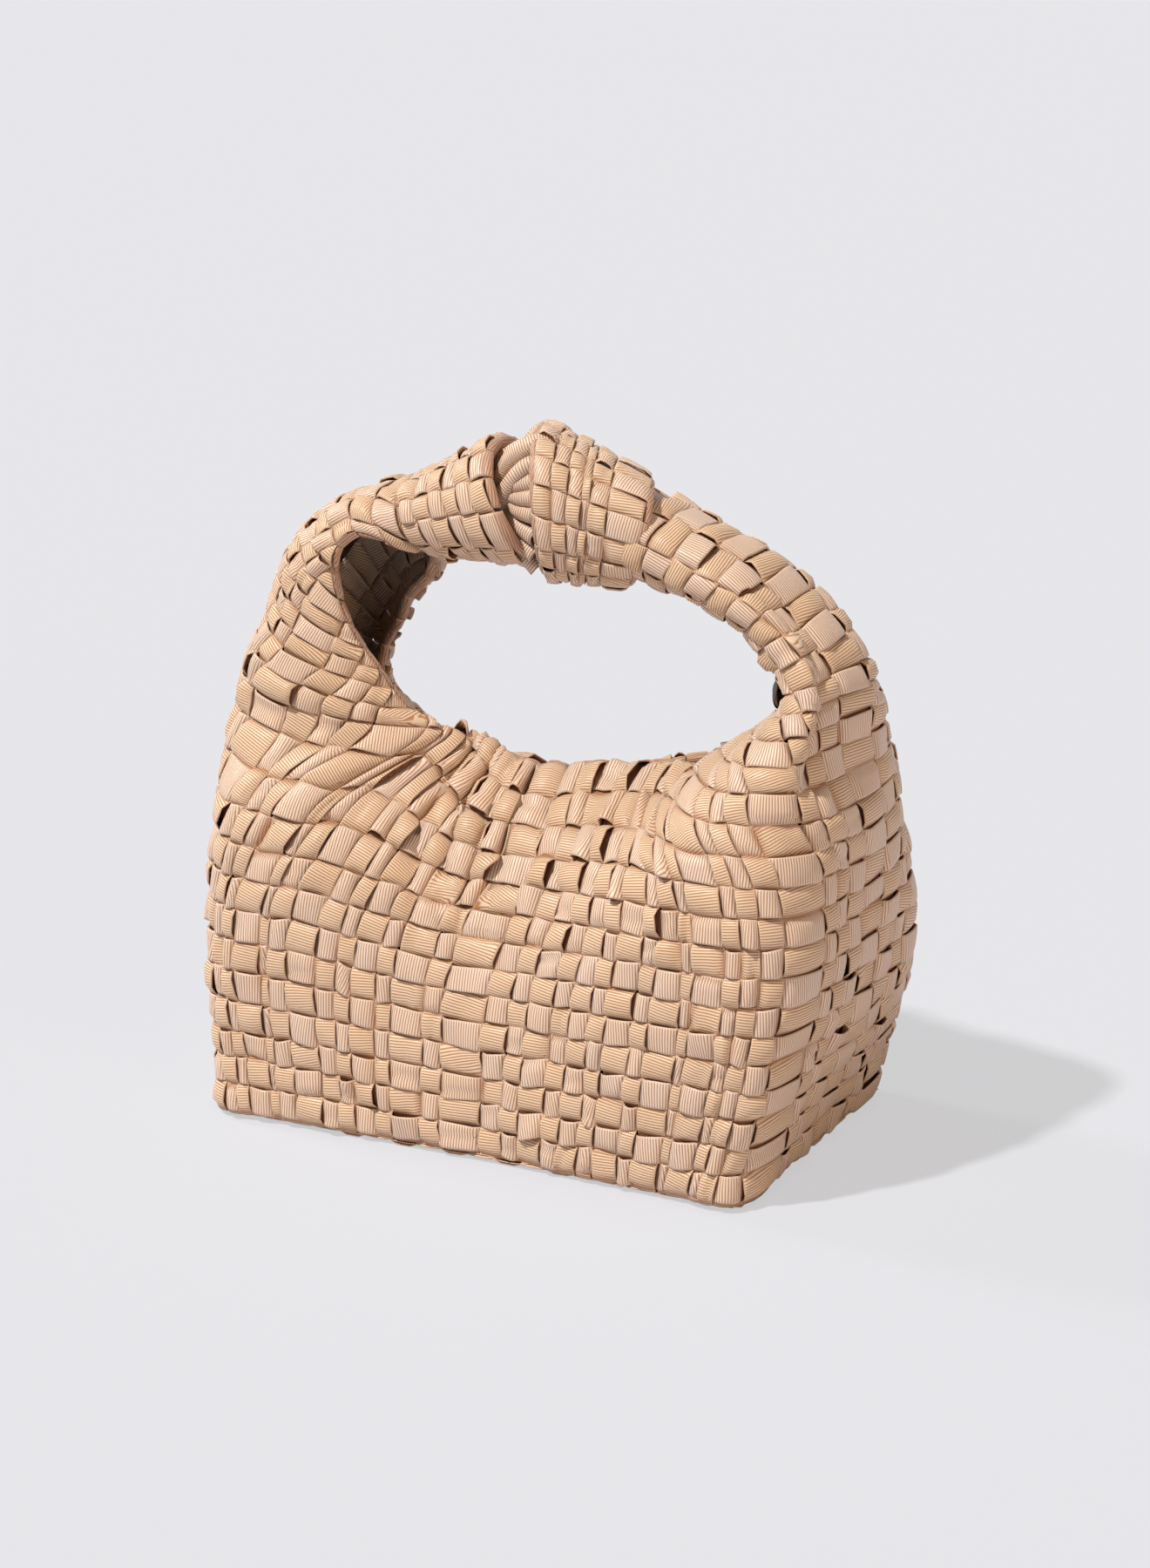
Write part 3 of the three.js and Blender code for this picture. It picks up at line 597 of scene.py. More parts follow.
def woven_point(part, across, level, inset=WEAVE_INSET):
    """Point of the woven sheet, which also runs past its rim, its slits and its foot."""
    across, level = np.broadcast_arrays(np.asarray(across, float), np.asarray(level, float))
    inner_across = np.clip(across, -1, 1) if part in SIDES else across
    inner_level = np.clip(level, 0, np.inf if part in SIDES else ROWS)
    place, around, up, outward = frame_at(part, inner_across, inner_level, inset)
    place = place - outward * creases(part, inner_across, inner_level)[..., None]

    def carry_on(place, beyond, onward, outward, turn):
        carried = curled(place, onward, outward, beyond, turn)
        return np.where((beyond > 0)[..., None], carried, place)

    above = (level - inner_level).clip(0) * ROW_PITCH
    below = (inner_level - level).clip(0) * ROW_PITCH
    foot = np.broadcast_to((0, 0, -1.0), up.shape)
    place = carry_on(place, above, up, outward, math.pi * 0.9)
    place = carry_on(place, below, foot, unit(outward * (1, 1, 0)), math.pi / 2)
    if part in SIDES:
        past = (np.abs(across) - 1).clip(0) * LIP_PITCH
        sideways = around * np.sign(across)[..., None]
        place = carry_on(place, past, sideways, outward, math.pi * 0.95)
    return place


def surface(part, column, level, inset=WEAVE_INSET):
    return woven_point(part, *place_on(part, column, level), inset)


print("front middle rim at", np.round(surface("front", np.array(9.0), np.array(14.0)), 1))

# %% [markdown]
# Ribbons ask for thousands of points of this surface, and the formula is slow. It is worked
# out once on a fine table for each part, and the ribbons read the table in between.

# %% Surface tables
LEVEL_STEP = 0.05
FOOT_LEVEL, RIM_LEVEL = -2.0, 1.6
LIP_REACH = 0.22


def tabulate(part):
    top = ROWS + (ARM_ROWS[part] + 1.2 if part in SIDES else RIM_LEVEL)
    level = np.arange(FOOT_LEVEL, top + LEVEL_STEP, LEVEL_STEP)
    across = np.linspace(-1, 1, 141)
    if part in SIDES:
        past = np.linspace(1, 1 + LIP_REACH, 40)[1:]
        across = np.concatenate([-past[::-1], across, past])
    points = woven_point(part, across[:, None], level[None, :])
    around = np.gradient(points, axis=0) * AHEAD[part]
    normals = unit(np.cross(around, np.gradient(points, axis=1)))
    return {"axes": (across, level), "points": points, "normals": normals}


TABLES = {part: tabulate(part) for part in PARTS}


def read_table(table, *at):
    """Place and outward normal between the points of a table."""
    found = []
    for axis, value in zip(table["axes"], np.broadcast_arrays(*at)):
        n = np.clip(np.searchsorted(axis, value, side="right") - 1, 0, len(axis) - 2)
        found.append((n, np.clip((value - axis[n]) / (axis[n + 1] - axis[n]), 0, 1)[..., None]))
    (i, s), (j, t) = found

    def mixed(grid):
        low = grid[i, j] * (1 - s) + grid[i + 1, j] * s
        high = grid[i, j + 1] * (1 - s) + grid[i + 1, j + 1] * s
        return low * (1 - t) + high * t

    return mixed(table["points"]), unit(mixed(table["normals"]))


def lay(part, across, level):
    """Place and outward normal of the woven sheet. Past the front's right corner it goes on
    along the right side."""
    across, level = np.broadcast_arrays(across, level)
    if part == "front" and (across > 1).any():
        here = lay("front", np.minimum(across, 1), level)
        there = lay("right", (across - 1) * CORNER_SHARE - 1, level)
        return tuple(np.where((across > 1)[..., None], b, a) for a, b in zip(here, there))
    return read_table(TABLES[part], across, level)


print("tables of", sum(t["points"].size // 3 for t in TABLES.values()), "points")

# %% [markdown]
# ## One ribbon
# Grosgrain is a flat woven tape about half a millimetre thick, stiff enough to arch between two
# crossings instead of lying flat. A curve with a flat profile would do for a straight tape, but
# it twists where the surface turns. So each ribbon is a strip of rings laid on the surface: seven
# points across its slightly crowned face and five underneath. Every point also carries how far
# it is along the ribbon and from its nearest edge, in millimetres, and a tone, which the
# material reads to draw the ribs.

# %% Ribbon strips
RIBBON_THICKNESS = 0.5
FACE_SHARES = np.array([-1, -0.84, -0.42, 0.0, 0.42, 0.84, 1])
MIDDLE = len(FACE_SHARES) // 2
UNDER = [6, 4, 3, 2, 0]
CAP_QUADS = np.array([(11 - k, 10 - k, 1 + k, k) for k in range(5)])
# rise_mm is a point's height from the crossings and folds; the material paints shade from it.
VALUES = ("along_mm", "edge_mm", "rise_mm", "tone")


def new_bundle():
    return {"size": 0, "points": [], "faces": [], **{key: [] for key in VALUES}}


def add_ribbon(bundle, face, outward, half_width, tone, rise=1.0, thickness=RIBBON_THICKNESS):
    """Adds one closed strip. face and outward are grids of (stations, shares, xyz) in mm."""
    under = face[:, UNDER] - outward[:, UNDER] * thickness
    rings = np.concatenate([face, under], 1)
    length, ring = rings.shape[:2]
    middle = face[:, MIDDLE]
    onward = unit(np.gradient(middle, axis=0))
    along = run_length(middle)[:, None] + ((face - middle[:, None]) * onward[:, None]).sum(-1)
    shares = np.concatenate([FACE_SHARES, FACE_SHARES[UNDER]])
    edge = (1 - np.abs(shares))[None, :] * np.broadcast_to(half_width, length)[:, None]
    start = bundle["size"]
    i, j = np.meshgrid(np.arange(length - 1), np.arange(ring), indexing="ij")
    a = start + i * ring + j
    b = start + i * ring + (j + 1) % ring
    bundle["faces"].append(np.stack([a, b, b + ring, a + ring], -1).reshape(-1, 4))
    for cap, order in ((0, np.arange(ring)), (length - 1, np.arange(ring)[::-1])):
        bundle["faces"].append((order + start + cap * ring)[CAP_QUADS])
    bundle["points"].append(rings.reshape(-1, 3))
    along = np.concatenate([along, along[:, UNDER]], 1) + 7.0 * (len(bundle["points"]) % 5)
    rise = np.broadcast_to(rise, face.shape[:2])
    bundle["along_mm"].append(along.ravel())
    bundle["edge_mm"].append(edge.ravel())
    # The underside gets a made-up height for painted shade: darker beneath a ribbon that arches
    # over a crossing, lighter beneath one that lies under.
    bundle["rise_mm"].append(np.concatenate([rise, 0.5 - 0.3 * rise[:, UNDER]], 1).ravel())
    bundle["tone"].append(np.repeat(np.broadcast_to(tone, length), ring))
    bundle["size"] += length * ring


def finish_piece(name, bundle, material):
    """Makes one object of a bundle of ribbons."""
    values = {key: np.concatenate(bundle[key]) for key in VALUES}
    return mesh_object(name, np.concatenate(bundle["points"]), bundle["faces"], material,
                       values)


def half_widths(face):
    return np.linalg.norm(face[:, -1] - face[:, 0], axis=-1) / 2


print("a ribbon's ring has", len(FACE_SHARES), "points on its face and", len(UNDER), "beneath")

# %% [markdown]
# ## Over and under
# Along one ribbon each crossing is a cell. Over a crossing the ribbon arches out, under one it
# sinks, and between them it dives through the gap within about 3 mm. Hand-plaited ribbon is
# never even, so each cell gets its own small puff, tilt and drift, and here and there a ribbon
# that is too wide for its place buckles along its length. The random numbers come from one
# seeded generator, so every run weaves the same bag.

# %% Weave heights
RISE = 2.7
LIFT, UNDER_SHARE = 1.6, 0.62
CROWN, TUCK_DEPTH = 0.35, 1.5
CELL_STEPS, WIDE_CELL_STEPS = 6, 8
NARROW_SINK = 0.7
rng = np.random.default_rng(20)


def cell_phases(count):
    return (1 - np.cos(np.pi * np.arange(count) / count)) / 2


def eased(values, cell, phase):
    """Values at the cells' starts, eased from one to the next."""
    s = phase * phase * (3 - 2 * phase)
    after = np.minimum(cell + 1, len(values) - 1)
    return values[cell] * (1 - s) + values[after] * s


def cell_relief(phase, size, over):
    reach = np.minimum(phase, 1 - phase) * size
    lift = np.sin(np.pi / 2 * np.minimum(reach / RISE, 1)) * np.minimum(size / 4, 1)
    return np.where(over, lift, -lift)


def cell_whims(count, buckled, loose=0.0):
    """Random shape of each cell: puff, tilt, twist, a folded edge, and a lengthwise buckle."""
    puff = rng.uniform(0.72, 1.3, count)
    tilt = rng.normal(0, 0.2, count)
    lifted = rng.random(count) < 0.06 + 0.22 * loose
    side, high = rng.choice([-1, 1], count), rng.uniform(0.6, 1.2, count)
    tilt = np.where(lifted, side * high * (1 + 0.35 * loose), tilt)
    puff = np.where(lifted, puff + 0.3 + 0.5 * loose, puff)
    twist = rng.normal(0, 0.36, count)
    folded = np.where(rng.random(count) < 0.16, rng.choice([-1.0, 1.0], count), 0)
    deep = np.where(rng.random(count) < buckled, rng.uniform(0.8, 1.7, count), 0)
    place = rng.uniform(-0.45, 0.45, count)
    return puff, tilt, twist, folded, deep, place


def heights(cell, phase, size, over, whims):
    """Height of a ribbon's face above the sheet's middle, as a grid of (stations, shares)."""
    puff, tilt, twist, folded, deep, place = (values[cell][:, None] for values in whims)
    relief = cell_relief(phase, size, over)[:, None]
    window = np.clip(relief, 0, 1)
    share, phase = FACE_SHARES[None, :], phase[:, None]
    rise = LIFT * np.where(over[:, None], relief * puff, relief * UNDER_SHARE)
    crown = CROWN * np.abs(share) ** 3
    lean = window * (tilt + twist * (2 * phase - 1)) * share
    tuck = TUCK_DEPTH * window * np.clip((share * folded - 0.45) / 0.4, 0, 1)
    buckle = window * deep * np.exp(-((share - place) / 0.3) ** 2)
    # The second grid is the height that the material paints shade from; a folded edge counts as
    # lower.
    return rise - crown + lean - tuck - buckle + RIBBON_THICKNESS / 2, rise - 0.8 * tuck


def wander(cell, phases, count, drift, least, most):
    """A ribbon's sideways drift and its width, which change from crossing to crossing."""
    shift, width = rng.normal(0, drift, count + 1), rng.uniform(least, most, count + 1)
    return eased(shift, cell, phases)[:, None], eased(width, cell, phases)[:, None]


def run_on(before, after, cell, phases, over):
    """Repeats the end stations of a ribbon that runs on past its crossings."""
    ends = (before, after)
    phases = np.pad(phases, ends, constant_values=(0, 1))
    return np.pad(cell, ends, "edge"), phases, np.pad(over, ends, "edge")


def cell_sizes(face, cell):
    """Length of the crossing that each station lies in."""
    run = run_length(face[:, MIDDLE])
    starts = run[np.searchsorted(cell, np.arange(cell[-1] + 1))]
    return np.diff(np.append(starts, run[-1]))[cell]


def add_woven(bundle, face, outward, half_width, cell, phases, over, size, whims, narrow=1.0):
    """Adds a ribbon that rises and sinks with its crossings. A narrow one lies lower."""
    lift, depth = heights(cell, phases, size, over, whims)
    face = face + outward * (lift * narrow - NARROW_SINK * (1 - narrow))[..., None]
    tone = rng.normal(0, 0.5) + eased(rng.normal(0, 0.5, len(whims[0]) + 1), cell, phases)
    add_ribbon(bundle, face, outward, half_width, tone, depth)


print("a ribbon rises", LIFT, "mm over a crossing and dips", round(LIFT * UNDER_SHARE, 2), "under")

# %% [markdown]
# ## The hoops
# A weft goes once round the body and overlaps its own start inside the left side. The top hoop
# and the wefts of the arms end at the edges of the sheet instead, where they fold in round the
# slit. The plait is not equally tight all round: near the front's rim, where the real bag is
# pulled about most, the cells stand up and buckle more, and on the back and the left side less.
# A weft follows the plan's tables, so it could also be a curve with a bevel, but then it
# couldn't widen and tilt from one crossing to the next.

# %% Wefts
LOOSE = {"front": 1.0, "back": 0.5, "left": 0.3}
LOOSE_START, LOOSE_ROWS = 6, 5
WEFT_HALF, ARM_WEFT_HALF = 4.85, 5.05
ARM_PITCH = 8.5
WIDE_WARP = 9
OVERLAP = 8
TUCK = np.array([0.012, 0.03, 0.05, 0.075, 0.12])


def looseness(part, row):
    return LOOSE.get(part, 0.0) * eased_step((row - LOOSE_START) / LOOSE_ROWS)


def add_weft(bundle, cells, row, tucked=(), half=WEFT_HALF):
    """A weft through a list of (part, warp); tucked holds 0 or -1 for an end that folds in."""
    steps = [cell_phases(WIDE_CELL_STEPS if WARPS[part][k] > WIDE_WARP else CELL_STEPS)
             for part, k in cells]
    cell = np.repeat(np.arange(len(cells)), [len(s) for s in steps])
    phases = np.concatenate(steps)
    parts, warps = (np.array(names)[cell] for names in zip(*cells))
    over = (warps + row) % 2 == 0
    shift, width = wander(cell, phases, len(cells), 0.045, 0.93, 1.06)
    slack = np.array([looseness(part, row) for part, _ in cells])
    whims = cell_whims(len(cells), 0.12 + 0.25 * slack, slack)
    fill = 2 * half / ROW_PITCH
    level = row + 0.5 + shift + FACE_SHARES[None, :] * 0.5 * fill * width
    face = np.zeros((*level.shape, 3))
    outward = np.zeros_like(face)
    for part in PARTS:
        here = parts == part
        if here.any():
            across, level[here] = place_on(part, (warps + phases)[here][:, None], level[here])
            face[here], outward[here] = lay(part, across, level[here])
    part = cells[-1][0]
    for end in tucked:
        side, near = (AHEAD[part], TUCK) if end else (-AHEAD[part], TUCK[::-1])
        points, normals = lay(part, side * (1 + near)[:, None], level[end][None, :])
        face = np.concatenate([face, points] if end else [points, face])
        outward = np.concatenate([outward, normals] if end else [normals, outward])
    cell, phases, over = run_on(len(TUCK) * (0 in tucked), len(TUCK) * (-1 in tucked),
                                cell, phases, over)
    pitch = ROW_PITCH if row < ROWS else ARM_PITCH
    add_woven(bundle, face, outward, fill * pitch / 2, cell, phases, over,
              cell_sizes(face, cell), whims)


body_wefts = new_bundle()
loop = [(part, k) for part in PARTS for k in range(len(WARPS[part]))]
for row in range(ROWS - 1):
    start = loop.index(("left", OVERLAP + (row + 1) % 2))
    add_weft(body_wefts, loop[start:] + loop[:start + 1], row)
add_weft(body_wefts, loop, ROWS - 1, tucked=(-1,))

arm_wefts = {}
for hand in ("left", "right"):
    arm_wefts[hand] = new_bundle()
    cells = [(hand, k) for k in range(len(SIDE_WARPS))]
    for row in range(ROWS, ROWS + ARM_ROWS[hand]):
        add_weft(arm_wefts[hand], cells, row, tucked=(0, -1), half=ARM_WEFT_HALF)
print(ROWS, "hoops and", sum(ARM_ROWS.values()), "arm wefts")

# %% [markdown]
# ## The climbing ribbons
# A warp starts under the base, climbs its panel and folds in over the rim. A warp of a side
# goes on up the arm until the sheet's edge cuts it off, and the last ones reach the knot. A
# warp that is being squeezed narrow at such an edge sinks a little, under its neighbours.

# %% Warps
FOOT_TUCK, RIM_FOLD = -0.9, 1.0
FULL_HALF = 2.2
CLOSED_SHARE = 0.12


def add_warp(bundle, part, k, top):
    """One climbing ribbon of a part, from under the base to a level."""
    last = min(ROWS + ARM_ROWS.get(part, 0), math.ceil(top))
    level = np.concatenate([r + cell_phases(CELL_STEPS) for r in range(last)] + [[last]])
    level = level[level <= top]
    cell = np.minimum(np.floor(level).astype(int), last - 1)
    phases = level - cell
    over = (k + cell) % 2 == 1
    before = np.linspace(FOOT_TUCK, 0, 7)[:-1]
    after = np.linspace(last, top, 9)[1:] if top > last else np.zeros(0)
    level = np.concatenate([before, level, after])[:, None]
    cell, phases, over = run_on(len(before), len(after), cell, phases, over)
    shift, width = wander(cell, phases, last, 0.04, 0.93, 1.06)
    rows = np.arange(last)
    slack = looseness(part, rows) * (rows < ROWS)
    whims = cell_whims(last, 0.35 if WARPS[part][k] > 12 else 0.14, slack)
    column = k + 0.5 + shift + FACE_SHARES[None, :] * 0.5 * width
    face, outward = lay(part, *place_on(part, column, np.broadcast_to(level, column.shape)))
    half_width = half_widths(face)
    narrow = np.clip(half_width / FULL_HALF, 0.05, 1)[:, None]
    add_woven(bundle, face, outward, half_width, cell, phases, over,
              np.full(len(cell), ROW_PITCH), whims, narrow)


panel_warps = new_bundle()
for part in ("front", "back"):
    for k in range(len(PANEL_WARPS)):
        middle = float(across_at(part, k + 0.5, ROWS))
        add_warp(panel_warps, part, k, row_number(part, middle, ROWS + RIM_FOLD))
side_warps = {}
for hand in ("left", "right"):
    side_warps[hand] = new_bundle()
    for k in range(len(SIDE_WARPS)):
        wide = np.abs(np.diff(EDGES[hand], axis=1)[:, k])
        closed = np.nonzero(wide < CLOSED_SHARE * wide[0])[0]
        top = ROWS + ARM_ROWS[hand] + 1.0
        if len(closed):
            top = max(closed[0] * EDGE_STEP + LOWEST, ROWS + 0.5)
            top = row_number(hand, float(across_at(hand, k + 0.5, top)), top)
        add_warp(side_warps[hand], hand, k, top)
print(2 * len(PANEL_WARPS), "panel warps and", 2 * len(SIDE_WARPS), "side warps")

# %% [markdown]
# ## Grosgrain
# Grosgrain is polyester ribbon with thick cross ribs and a plain, flat edge. The ribs stand at
# about 0.83 mm from each other on the real tape; they are drawn 1 mm apart here, so that they
# still show at the size of the picture. The filament gives a soft satin gleam, so roughness is
# about 0.45, with a little sheen. Ribs could be modelled, but they are a tenth of a millimetre
# deep, so colour and bump do it: a sine along the ribbon, faded out at the edges, whose paler
# ridges are a painted highlight and whose darker grooves are painted shade. Where a ribbon
# dives under another, light bounces from ribbon to ribbon and turns a deeper golden brown; that
# shade is painted into the colour, which follows the height that each point carries. Along each
# ribbon's edges the same brown is painted as shade.

# %% Grosgrain materials
RIB_PITCH, RIB_DEPTH = 1.0, 0.0002
CLOUD_SCALE, YARN_SCALE = 45.0, 1400.0
# Brown of the painted shade where ribbons dive under one another and along their edges.
DIVE_SHADE_COLOUR = "#92521A"


def grosgrain(name, ridge, groove_shade, warm, cool):
    material, tree, shader = new_material(name)
    along, edge, rise, tone = (node(tree, "Attribute", attribute_name=key) for key in VALUES)
    place = node(tree, "TexCoord")

    angle = node(tree, "Math", {
        0: (along, "Fac"), 1: 2 * math.pi / RIB_PITCH}, operation="MULTIPLY")
    wave = node(tree, "Math", {0: (angle, 0)}, operation="SINE")
    rib = node(tree, "MapRange", {
        "Value": (wave, 0), "From Min": -0.95, "From Max": 0.15}, interpolation_type="SMOOTHSTEP")
    body = node(tree, "MapRange", {"Value": (edge, "Fac"), "From Min": 0.2, "From Max": 0.55})
    flat = node(tree, "Math", {0: 1.0, 1: (body, 0)}, operation="SUBTRACT")
    height = node(tree, "Math", {0: (rib, 0), 1: (flat, 0)}, operation="MAXIMUM")

    cloud = node(tree, "TexNoise", {
        "Vector": (place, "Object"), "Scale": CLOUD_SCALE, "Detail": 3.0})
    yarn = node(tree, "TexNoise", {
        "Vector": (place, "Object"), "Scale": YARN_SCALE, "Detail": 2.0})
    drift = node(tree, "Math", {0: (tone, "Fac"), 1: 0.22, 2: 0.5}, operation="MULTIPLY_ADD")
    mixed = node(tree, "Math", {0: (cloud, "Fac"), 1: 0.5, 2: -0.25}, operation="MULTIPLY_ADD")
    blend = node(tree, "Math", {
        0: (drift, 0), 1: (mixed, 0)}, operation="ADD", use_clamp=True)
    tint = node(tree, "Mix", {
        "Factor": (blend, 0), "A": linear(warm), "B": linear(cool)}, data_type="RGBA")
    # Painted highlight and shade: rib tops are mixed paler, towards the ridge colour, and grooves
    # darker.
    top, low = (node(tree, "Mix", {
        "Factor": share, "A": linear(colour), "B": (tint, 2)}, data_type="RGBA")
        for share, colour in ((0.55, ridge), (0.35, groove_shade)))
    ribbed = node(tree, "Mix", {
        "Factor": (height, 0), "A": (low, 2), "B": (top, 2)}, data_type="RGBA")

    # Painted shade: the lower a point lies, the more its colour turns to the dive shade's brown.
    tucked = node(tree, "MapRange", {
        "Value": (rise, "Fac"), "From Min": -1.1, "From Max": 1.25, "To Min": 0.92,
        "To Max": 0.0}, interpolation_type="SMOOTHSTEP")
    # Painted shade along each ribbon's edges, in the dive shade's brown.
    edge_shade = node(tree, "MapRange", {
        "Value": (edge, "Fac"), "From Min": 0.0, "From Max": 0.45, "To Min": 0.45,
        "To Max": 0.0})
    # Painted shade: the stronger of the two marks, dives and edges, sets the brown.
    painted_shade = node(tree, "Math", {0: (tucked, 0), 1: (edge_shade, 0)}, operation="MAXIMUM")
    colour = node(tree, "Mix", {
        "Factor": (painted_shade, 0), "A": (ribbed, 2), "B": linear(DIVE_SHADE_COLOUR)}, data_type="RGBA")

    fibre = node(tree, "Math", {
        0: (yarn, "Fac"), 1: 0.2, 2: (height, 0)}, operation="MULTIPLY_ADD")
    bump = node(tree, "Bump", {"Height": (fibre, 0), "Distance": RIB_DEPTH, "Strength": 0.8})
    rough = node(tree, "MapRange", {"Value": (cloud, "Fac"), "To Min": 0.36, "To Max": 0.5})
    fill_sockets(tree, shader, {
        "Base Color": (colour, 2), "Normal": (bump, 0), "Roughness": (rough, 0), "IOR": 1.5,
        "Specular IOR Level": 0.36, "Sheen Weight": 0.12, "Sheen Roughness": 0.4,
    })
    return material


# The wefts' colours are a little paler and pinker than the warps'. The real ribbons differ
# slightly in tone; the rest of the difference is painted sheen, which on the real weave changes
# with the ribs' direction.
weft_tape = grosgrain("grosgrain_peach_weft", "#F2E3D4", "#A05F2A", "#DDB68E", "#E0C5AF")
warp_tape = grosgrain("grosgrain_camel_warp", "#F0DEC5", "#985622", "#DAAF80", "#DDBA99")
print("ribs every", RIB_PITCH, "mm")

# %% [markdown]
# ## The walls' pieces
# The hoops and the panels' warps stay on the bag. The side's warps run from the bag into the
# handle, which swings to front and back, so they and the arms' wefts are put on neither body:
# the real sheet bends just below and above the hinge, and a rigid piece on either body would
# tear there.

hoops = finish_piece("body_wefts", body_wefts, weft_tape)
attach(hoops, "bag")
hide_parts("front_rim_binding", "back_rim_binding")
climbers = finish_piece("panel_warps", panel_warps, warp_tape)
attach(climbers, "bag")
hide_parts("woven_front_panel", "woven_back_panel")
for hand in ("left", "right"):
    made = finish_piece(f"{hand}_side_warps", side_warps[hand], warp_tape)
    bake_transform(made)
    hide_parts(f"woven_{hand}_side", f"{hand}_handle_arm")
    made = finish_piece(f"{hand}_arm_wefts", arm_wefts[hand], weft_tape)
    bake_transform(made)

# %% [markdown]
# ## The base
# The base is a flat square plait of the same ribbon, closed by the feet of the warps that turn
# under it. It carries the bag, so it stays flat, and its waves are shallower than those of the
# walls.

# %% Base ribbons
BASE_LEVEL, BASE_LIFT_SHARE = 1.45, 0.62
BASE_PITCH, BASE_MARGIN = 10.3, 2.6
BASE_ROWS, BASE_COLUMNS = 12, 20
BASE_WAIST = 1.6


def base_half_length(across):
    """Half length of the base's outline beyond a line at this distance from its middle."""
    inner = np.clip(np.abs(across) / (BASE_DEPTH / 2), 0, 0.999)
    return BASE_WIDTH / 2 - BASE_CORNER + BASE_CORNER * (1 - inner ** 8) ** 0.125


def base_half_depth(along):
    """Half depth of the base's outline at this distance from its middle."""
    past = np.clip((np.abs(along) - (BASE_WIDTH / 2 - BASE_CORNER)) / BASE_CORNER, 0, 0.999)
    flat = BASE_DEPTH / 2 - BASE_WAIST * (1 - np.clip(np.abs(along) / FOOT[0], 0, 1) ** 2)
    return np.minimum(BASE_DEPTH / 2 * (1 - past ** 8) ** 0.125, flat)


def add_base_ribbon(bundle, lengthwise, number):
    count, crossing = (BASE_ROWS, BASE_COLUMNS) if lengthwise else (BASE_COLUMNS, BASE_ROWS)
    offset = (number + 0.5 - count / 2) * BASE_PITCH
    half_span = base_half_length if lengthwise else base_half_depth
    half = half_span(abs(offset) + 2.5) - BASE_MARGIN
    origin = -crossing / 2 * BASE_PITCH
    run = np.concatenate([origin + (n + cell_phases(CELL_STEPS)) * BASE_PITCH
                          for n in range(crossing)] + [[-origin]])
    run = np.concatenate([[-half], run[(run > -half + 0.5) & (run < half - 0.5)], [half]])
    cell = np.clip(np.floor((run - origin) / BASE_PITCH).astype(int), 0, crossing - 1)
    phases = np.clip((run - origin) / BASE_PITCH - cell, 0, 1)
    over = (cell + number + (0 if lengthwise else 1)) % 2 == 0
    whims = cell_whims(crossing, 0.05)
    width = rng.uniform(0.45, 0.49, crossing + 1)
    side = offset + FACE_SHARES[None, :] * (eased(width, cell, phases) * BASE_PITCH)[:, None]
    lift, depth = heights(cell, phases, np.full(len(run), BASE_PITCH), over, whims)
    lift = lift * BASE_LIFT_SHARE
    long_way = np.broadcast_to(run[:, None], side.shape)
    x, y = (long_way, -side) if lengthwise else (side, long_way)
    face = np.stack([x, y, np.maximum(BASE_LEVEL - lift, 0.05)], -1)
    outward = np.broadcast_to(np.array([0, 0, -1.0]), face.shape)
    add_ribbon(bundle, face, outward, BASE_PITCH * 0.47, rng.normal(0, 0.5), depth, thickness=0.4)


base_lengthwise, base_crosswise = new_bundle(), new_bundle()
for number in range(BASE_ROWS):
    add_base_ribbon(base_lengthwise, True, number)
for number in range(BASE_COLUMNS):
    add_base_ribbon(base_crosswise, False, number)
made = finish_piece("base_lengthwise_ribbons", base_lengthwise, weft_tape)
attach(made, "bag")
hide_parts("woven_base")
made = finish_piece("base_crosswise_ribbons", base_crosswise, warp_tape)
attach(made, "bag")

# %% [markdown]
# ## The lining
# Behind the ribbons hangs a bag of dark brown cotton twill. It shows in the mouth, in the slit of
# the left handle root and, as near black, through the small gaps of the plait. Cloth simulation
# could hang it, but it is sewn to the rim all round and pressed against the weave, so it is
# built as sheets that follow the weave at a small distance, with a few soft waves.

# %% Lining material
# The real twill's lines are some 1.2 mm apart. They are drawn ten times as coarse, counted
# along x + y + z, so that they show at all.
TWILL_SPAN = 12.0
twill, tree, shader = new_material("brown_cotton_twill")
place = node(tree, "TexCoord")
ridge = node(tree, "TexWave", {
    "Vector": (place, "Object"), "Scale": 0.628 / (TWILL_SPAN * MM), "Distortion": 0.4,
}, wave_type="BANDS", bands_direction="DIAGONAL")
dust = node(tree, "TexNoise", {"Vector": (place, "Object"), "Scale": 60.0, "Detail": 4.0})
share = node(tree, "Math", {
    0: (ridge, "Fac"), 1: 0.6, 2: (dust, "Fac")}, operation="MULTIPLY_ADD")
shade = node(tree, "Mix", {
    "Factor": (share, 0), "A": linear("#2A1E1A"), "B": linear("#4A3830")}, data_type="RGBA")
bump = node(tree, "Bump", {"Height": (ridge, "Fac"), "Distance": 0.0001, "Strength": 0.5})
fill_sockets(tree, shader, {
    "Base Color": (shade, 2), "Normal": (bump, 0), "Roughness": 0.85,
    "Specular IOR Level": 0.2, "Sheen Weight": 0.1,
})
print(twill.name, "with lines every", TWILL_SPAN, "mm")

# %% [markdown]
# Each sheet of lining is two grids of points a cloth's thickness apart, closed along their
# edges. A Solidify modifier would do the same, but here the outer grid also gives the size
# that the cloth is cut to: its longest width and length.

# %% Lining sheets
LINING_INSET, LINING_THICKNESS, LINING_FOOT = 3.9, 0.4, 0.35


def grid_quads(a, b, c, d):
    return np.stack([a, b, c, d], -1).reshape(-1, 4)


